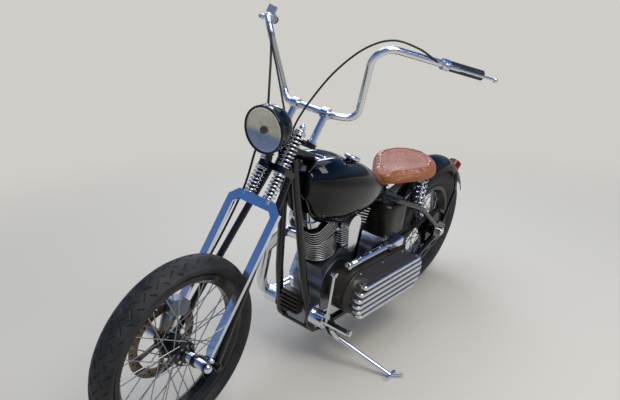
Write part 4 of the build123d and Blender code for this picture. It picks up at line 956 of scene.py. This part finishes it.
meshPiece("starterBar", merged([tubeAlong(starterPath, starter["radius"], 32),
                                copies(starterCap, starterPath[[0, -1]], np.stack([-starterWay, starterWay])),
                                copies(hexNut, starterPath[1:4] + bikeUp * 0.015, np.tile(bikeUp, (3, 1)))]),
          chromePlate, "frame")
meshPiece("starterWedge", wedgePart(), polishedAluminium, "frame", smooth=False)
print("primary made")


# Oil tank: a rounded box whose level sections are |x/a|^5 + |y/b|^5 = 1

oilTank = {"middle": (482.0, 0.0, 530.0), "half": (90.0, 124.0, 82.0), "squareness": 5.0, "edge": 22.0}


# That section at each height, drawn in along a quarter circle at the foot and the top
def oilTankPart():
    a, b, h = oilTank["half"]
    sweep = np.linspace(0, np.pi / 2, 7)
    edge = oilTank["edge"]
    rise, inset = edge * (1 - np.cos(sweep)), edge * (1 - np.sin(sweep))
    height = np.concatenate([-h + rise, (h - rise)[::-1]])[:, None]
    draw = np.concatenate([inset, inset[::-1]])[:, None]
    turn = fullTurn(96)[None, :]
    power = 2 / oilTank["squareness"]
    x = (a - draw) * signedPower(np.cos(turn), power)
    y = (b - draw) * signedPower(np.sin(turn), power)
    return closedRings(onBike(np.stack([x, y, height + 0 * x], -1) + oilTank["middle"]))


meshPiece("oilTankShell", oilTankPart(), oliveSatin, "frame", ("oil_tank",))
print("oil tank made")


# Fork springs: two open coils on each rod, below and above the lower yoke, with caps and acorn nuts

forkSprings = {"ahead": 46.0, "spread": 42.0, "radius": 18.6, "wire": 3.5, "core": 11.0, "rod": 6.0,
               "rodFoot": 592, "rodTop": 880.0, "nutLevel": 868,
               # foot, top, turns
               "stacks": ((595, 691, 7), (722, 851, 9)),
               # left and level of the rocker nuts
               "rocker": (111.5, -4)}


# A rod with its two coils and sleeves, flat rings at the coil ends, and nuts on the rod tops and rockers
def makeForkSprings():
    f = forkSprings
    parts, cores = [], []
    for hand in (1, -1):
        ends = onFork([(f["ahead"], hand * f["spread"], level) for level in (f["rodFoot"], f["rodTop"])])
        parts.append(tubeAlong(np.linspace(*ends, 4), f["rod"] / 1000, 20))
        for low, high, turns in f["stacks"]:
            foot, top = onFork([(f["ahead"], hand * f["spread"], level) for level in (low, high)])
            parts.append(coilPart(foot, top, f["radius"] / 1000, f["wire"] / 1000, turns))
            cores.append(tubeAlong(np.linspace(foot, top, 4), f["core"] / 1000, 24))
            for end, way in ((foot, -steerUp), (top, steerUp)):
                parts.append(turned([(-1, 0), (-1, 22), (2, 22), (2, 0)], end, way, 40))
        cap = [(0, 0), (0, 20), (8, 20), (14, 13), (14, 0)]
        parts.append(turned(cap, top + steerUp * 0.001, steerUp, 40))
    meshPiece("forkSpringCoils", merged(parts), chromePlate, "fork", ("fork_springs",))
    meshPiece("springSleeves", merged(cores), softRubber, "fork")
    rockerLeft, rockerLevel = f["rocker"]
    nutPlaces = onFork([(f["ahead"], hand * rockerLeft, rockerLevel + up)
                        for hand in (1, -1) for up in (24, -2)])
    nutWays = np.repeat(np.stack([bikeLeft, -bikeLeft]), 2, 0)
    rodTops = onFork([(f["ahead"], hand * f["spread"], f["nutLevel"]) for hand in (1, -1)])
    nuts = [copies(acornNut, nutPlaces, nutWays), copies(acornNut, rodTops, np.tile(steerUp, (2, 1)))]
    meshPiece("forkNuts", merged(nuts), chromePlate, "fork")


makeForkSprings()
print("fork springs made")


# Silencer ends: a rolled lip round a flat dark disc, soot and painted shade, that stands in for the bore

silencers = ({"end": (-130, -188, 246), "start": (350, -180, 225)},
             {"end": (-130, -188, 342), "start": (350, -180, 321)})
for index, s in enumerate(silencers):
    end = onBike(s["end"])
    way = unit(end - onBike(s["start"]))
    lip = [(-6, 0), (-6, 38.6), (2, 39.4), (5, 37), (3, 34), (-1, 33.4), (-1, 0)]
    meshPiece(f"silencerLip{index}", turned(lip, end, way, 64), chromePlate, "frame")
    boreShade = [(-1, 0), (-1, 33), (0.2, 33), (0.2, 0)]
    meshPiece(f"silencerBorePaintedShade{index}", turned(boreShade, end, way, 48), sootAndPaintedShade, "frame")
print("silencers made")


# Control cables that turn with the fork: two run into the foot of the head tube, and the brake hose ends at
# the caliper

cables = {
    # radius in metres, path on the fork in mm
    "clutchCable": {"radius": 0.0035,
                    "path": ((-16, 380, 1254), (50, 330, 1258), (112, 262, 1240), (140, 196, 1180),
                             (138, 130, 1085), (116, 76, 980), (80, 32, 872), (40, 24, 790), (4, 26, 740))},
    "throttleCable": {"radius": 0.0035,
                      "path": ((-16, -380, 1254), (60, -330, 1232), (120, -250, 1180), (140, -150, 1080),
                               (106, -60, 950), (74, -16, 868), (40, -16, 790), (4, -20, 740))},
    "brakeHose": {"radius": 0.0042,
                  "path": ((-20, -372, 1262), (66, -300, 1220), (130, -190, 1120), (140, -110, 980),
                           (112, -70, 850), (66, -84, 730), (24, -90, 600), (8, -100, 420), (14, -108, 240),
                           (40, -106, 150))},
}
for name, c in cables.items():
    line = onFork(smoothRows(c["path"], 12))
    meshPiece(name, tubeAlong(line, c["radius"], 12), softRubber, "fork")
print("cables made")


# Stage, light and camera

stage = {"colour": "#CFCDC8", "mirrored": "#A09E9A", "lit": "#C3C1BC", "half": 200.0,
         "fadeFrom": 1.5, "fadeTo": 4.2}


# Pale floor that takes the shadow near the bike and runs out to the backdrop's even tone
def makeFloor():
    material, tree, shader, place = newMaterial("pale concrete")
    fillSockets(tree, shader, Base_Color=linearColour(stage["lit"]), Roughness=0.9, Specular_IOR_Level=0.1)
    reach = addNode(tree, "ShaderNodeVectorMath", {"operation": "LENGTH"}, _0=place)
    far = addNode(tree, "ShaderNodeMapRange", {"interpolation_type": "SMOOTHSTEP"}, Value=(reach, "Value"),
                  _1=stage["fadeFrom"], _2=stage["fadeTo"])
    rays = addNode(tree, "ShaderNodeLightPath")
    seen = addNode(tree, "ShaderNodeMixRGB", Fac=(rays, "Is Glossy Ray"),
                   Color1=linearColour(stage["colour"]), Color2=linearColour(stage["mirrored"]))
    glow = addNode(tree, "ShaderNodeEmission", Color=(seen, "Color"))
    mix = addNode(tree, "ShaderNodeMixShader", _0=(far, "Result"), _1=(shader, "BSDF"), _2=(glow, "Emission"))
    fillSockets(tree, tree.nodes["Material Output"], Surface=(mix, "Shader"))
    h = stage["half"]
    corners = np.array([(-h, -h, 0), (h, -h, 0), (h, h, 0), (-h, h, 0)], float)
    part = corners, np.array([[0, 1, 2, 3]]), np.zeros((0, 3), int)
    floor = meshPiece("floor", part, material, smooth=False)
    if floor.data.polygons[0].normal.z < 0:
        floor.data.polygons[0].flip()


# Even backdrop for the camera, a blue sky with a darker skyline for reflections, and soft white fill
def makeWorld():
    world = bpy.data.worlds.new("soft sky")
    bpy.context.scene.world = world
    world.use_nodes = True
    tree = world.node_tree
    place = addNode(tree, "ShaderNodeTexCoord")
    split = addNode(tree, "ShaderNodeSeparateXYZ", Vector=(place, "Generated"))
    sky = rampBetween(tree, (split, "Z"), 0.0, 1.0, "#CFCDC8", "#284C86")
    for position, colour in ((0.08, "#5E6670"), (0.25, "#7892C0"), (0.6, "#3A60A0")):
        sky.color_ramp.elements.new(position).color = linearColour(colour)
    rays = addNode(tree, "ShaderNodeLightPath")
    fill = addNode(tree, "ShaderNodeMixRGB", Fac=(rays, "Is Glossy Ray"), Color1=linearColour("#B9BEC6"),
                   Color2=(sky, "Color"))
    clear = addNode(tree, "ShaderNodeMath", {"operation": "MAXIMUM"}, _0=(rays, "Is Camera Ray"),
                    _1=(rays, "Is Transmission Ray"))
    seen = addNode(tree, "ShaderNodeMixRGB", Fac=(clear, "Value"), Color1=(fill, "Color"),
                   Color2=linearColour(stage["colour"]))
    fillSockets(tree, tree.nodes["Background"], Color=(seen, "Color"))


lamps = (
    # name, place, aim, size, power in watts, colour
    ("key softbox", (0.6, 2.6, 4.0), (0, 0, 0.5), 2.6, 118.0, "#FFF6EA"),
    ("top softbox", (-0.8, -0.6, 4.2), (0, 0, 0.4), 4.0, 58.0, "#FFFFFF"),
    ("rim softbox", (-3.0, -2.2, 2.6), (0, 0, 0.6), 1.4, 40.0, "#EAF1FF"),
)


# Square area lamps, each turned to what it aims at
def makeLamps():
    for name, place, aim, size, power, colour in lamps:
        data = bpy.data.lights.new(name, "AREA")
        data.size, data.energy, data.color = size, power, linearColour(colour)[:3]
        light = bpy.data.objects.new(name, data)
        light.location = place
        light.rotation_euler = (Vector(aim) - Vector(place)).to_track_quat("-Z", "Y").to_euler()
        bpy.context.collection.objects.link(light)


cameraSettings = {"fromRearGround": (3.1282, 1.7300, 1.5428), "yaw": 217.34, "pitch": -17.35, "roll": -0.46,
                  "focalPixels": 708.0, "imageWidth": 620, "sensor": 36.0}


# The photograph's viewpoint, with the lens worked out from its focal length in pixels
def makeCamera():
    s = cameraSettings
    yaw, pitch, roll = (math.radians(s[k]) for k in ("yaw", "pitch", "roll"))
    look = Vector((math.cos(pitch) * math.cos(yaw), math.cos(pitch) * math.sin(yaw), math.sin(pitch)))
    level = Vector((math.sin(yaw), -math.cos(yaw), 0))
    up = level.cross(look)
    right = level * math.cos(roll) + up * math.sin(roll)
    up = up * math.cos(roll) - level * math.sin(roll)
    data = bpy.data.cameras.new("camera")
    data.sensor_width = s["sensor"]
    data.lens = s["sensor"] * s["focalPixels"] / s["imageWidth"]
    data.clip_end = 500
    camera = bpy.data.objects.new("camera", data)
    place = Vector(rearGround) + Vector(s["fromRearGround"])
    camera.matrix_world = Matrix.Translation(place) @ Matrix((right, up, -look)).transposed().to_4x4()
    bpy.context.collection.objects.link(camera)
    bpy.context.scene.camera = camera


makeFloor()
makeWorld()
makeLamps()
makeCamera()
bpy.context.scene.view_settings.view_transform = "Standard"
print("stage, light and camera made")
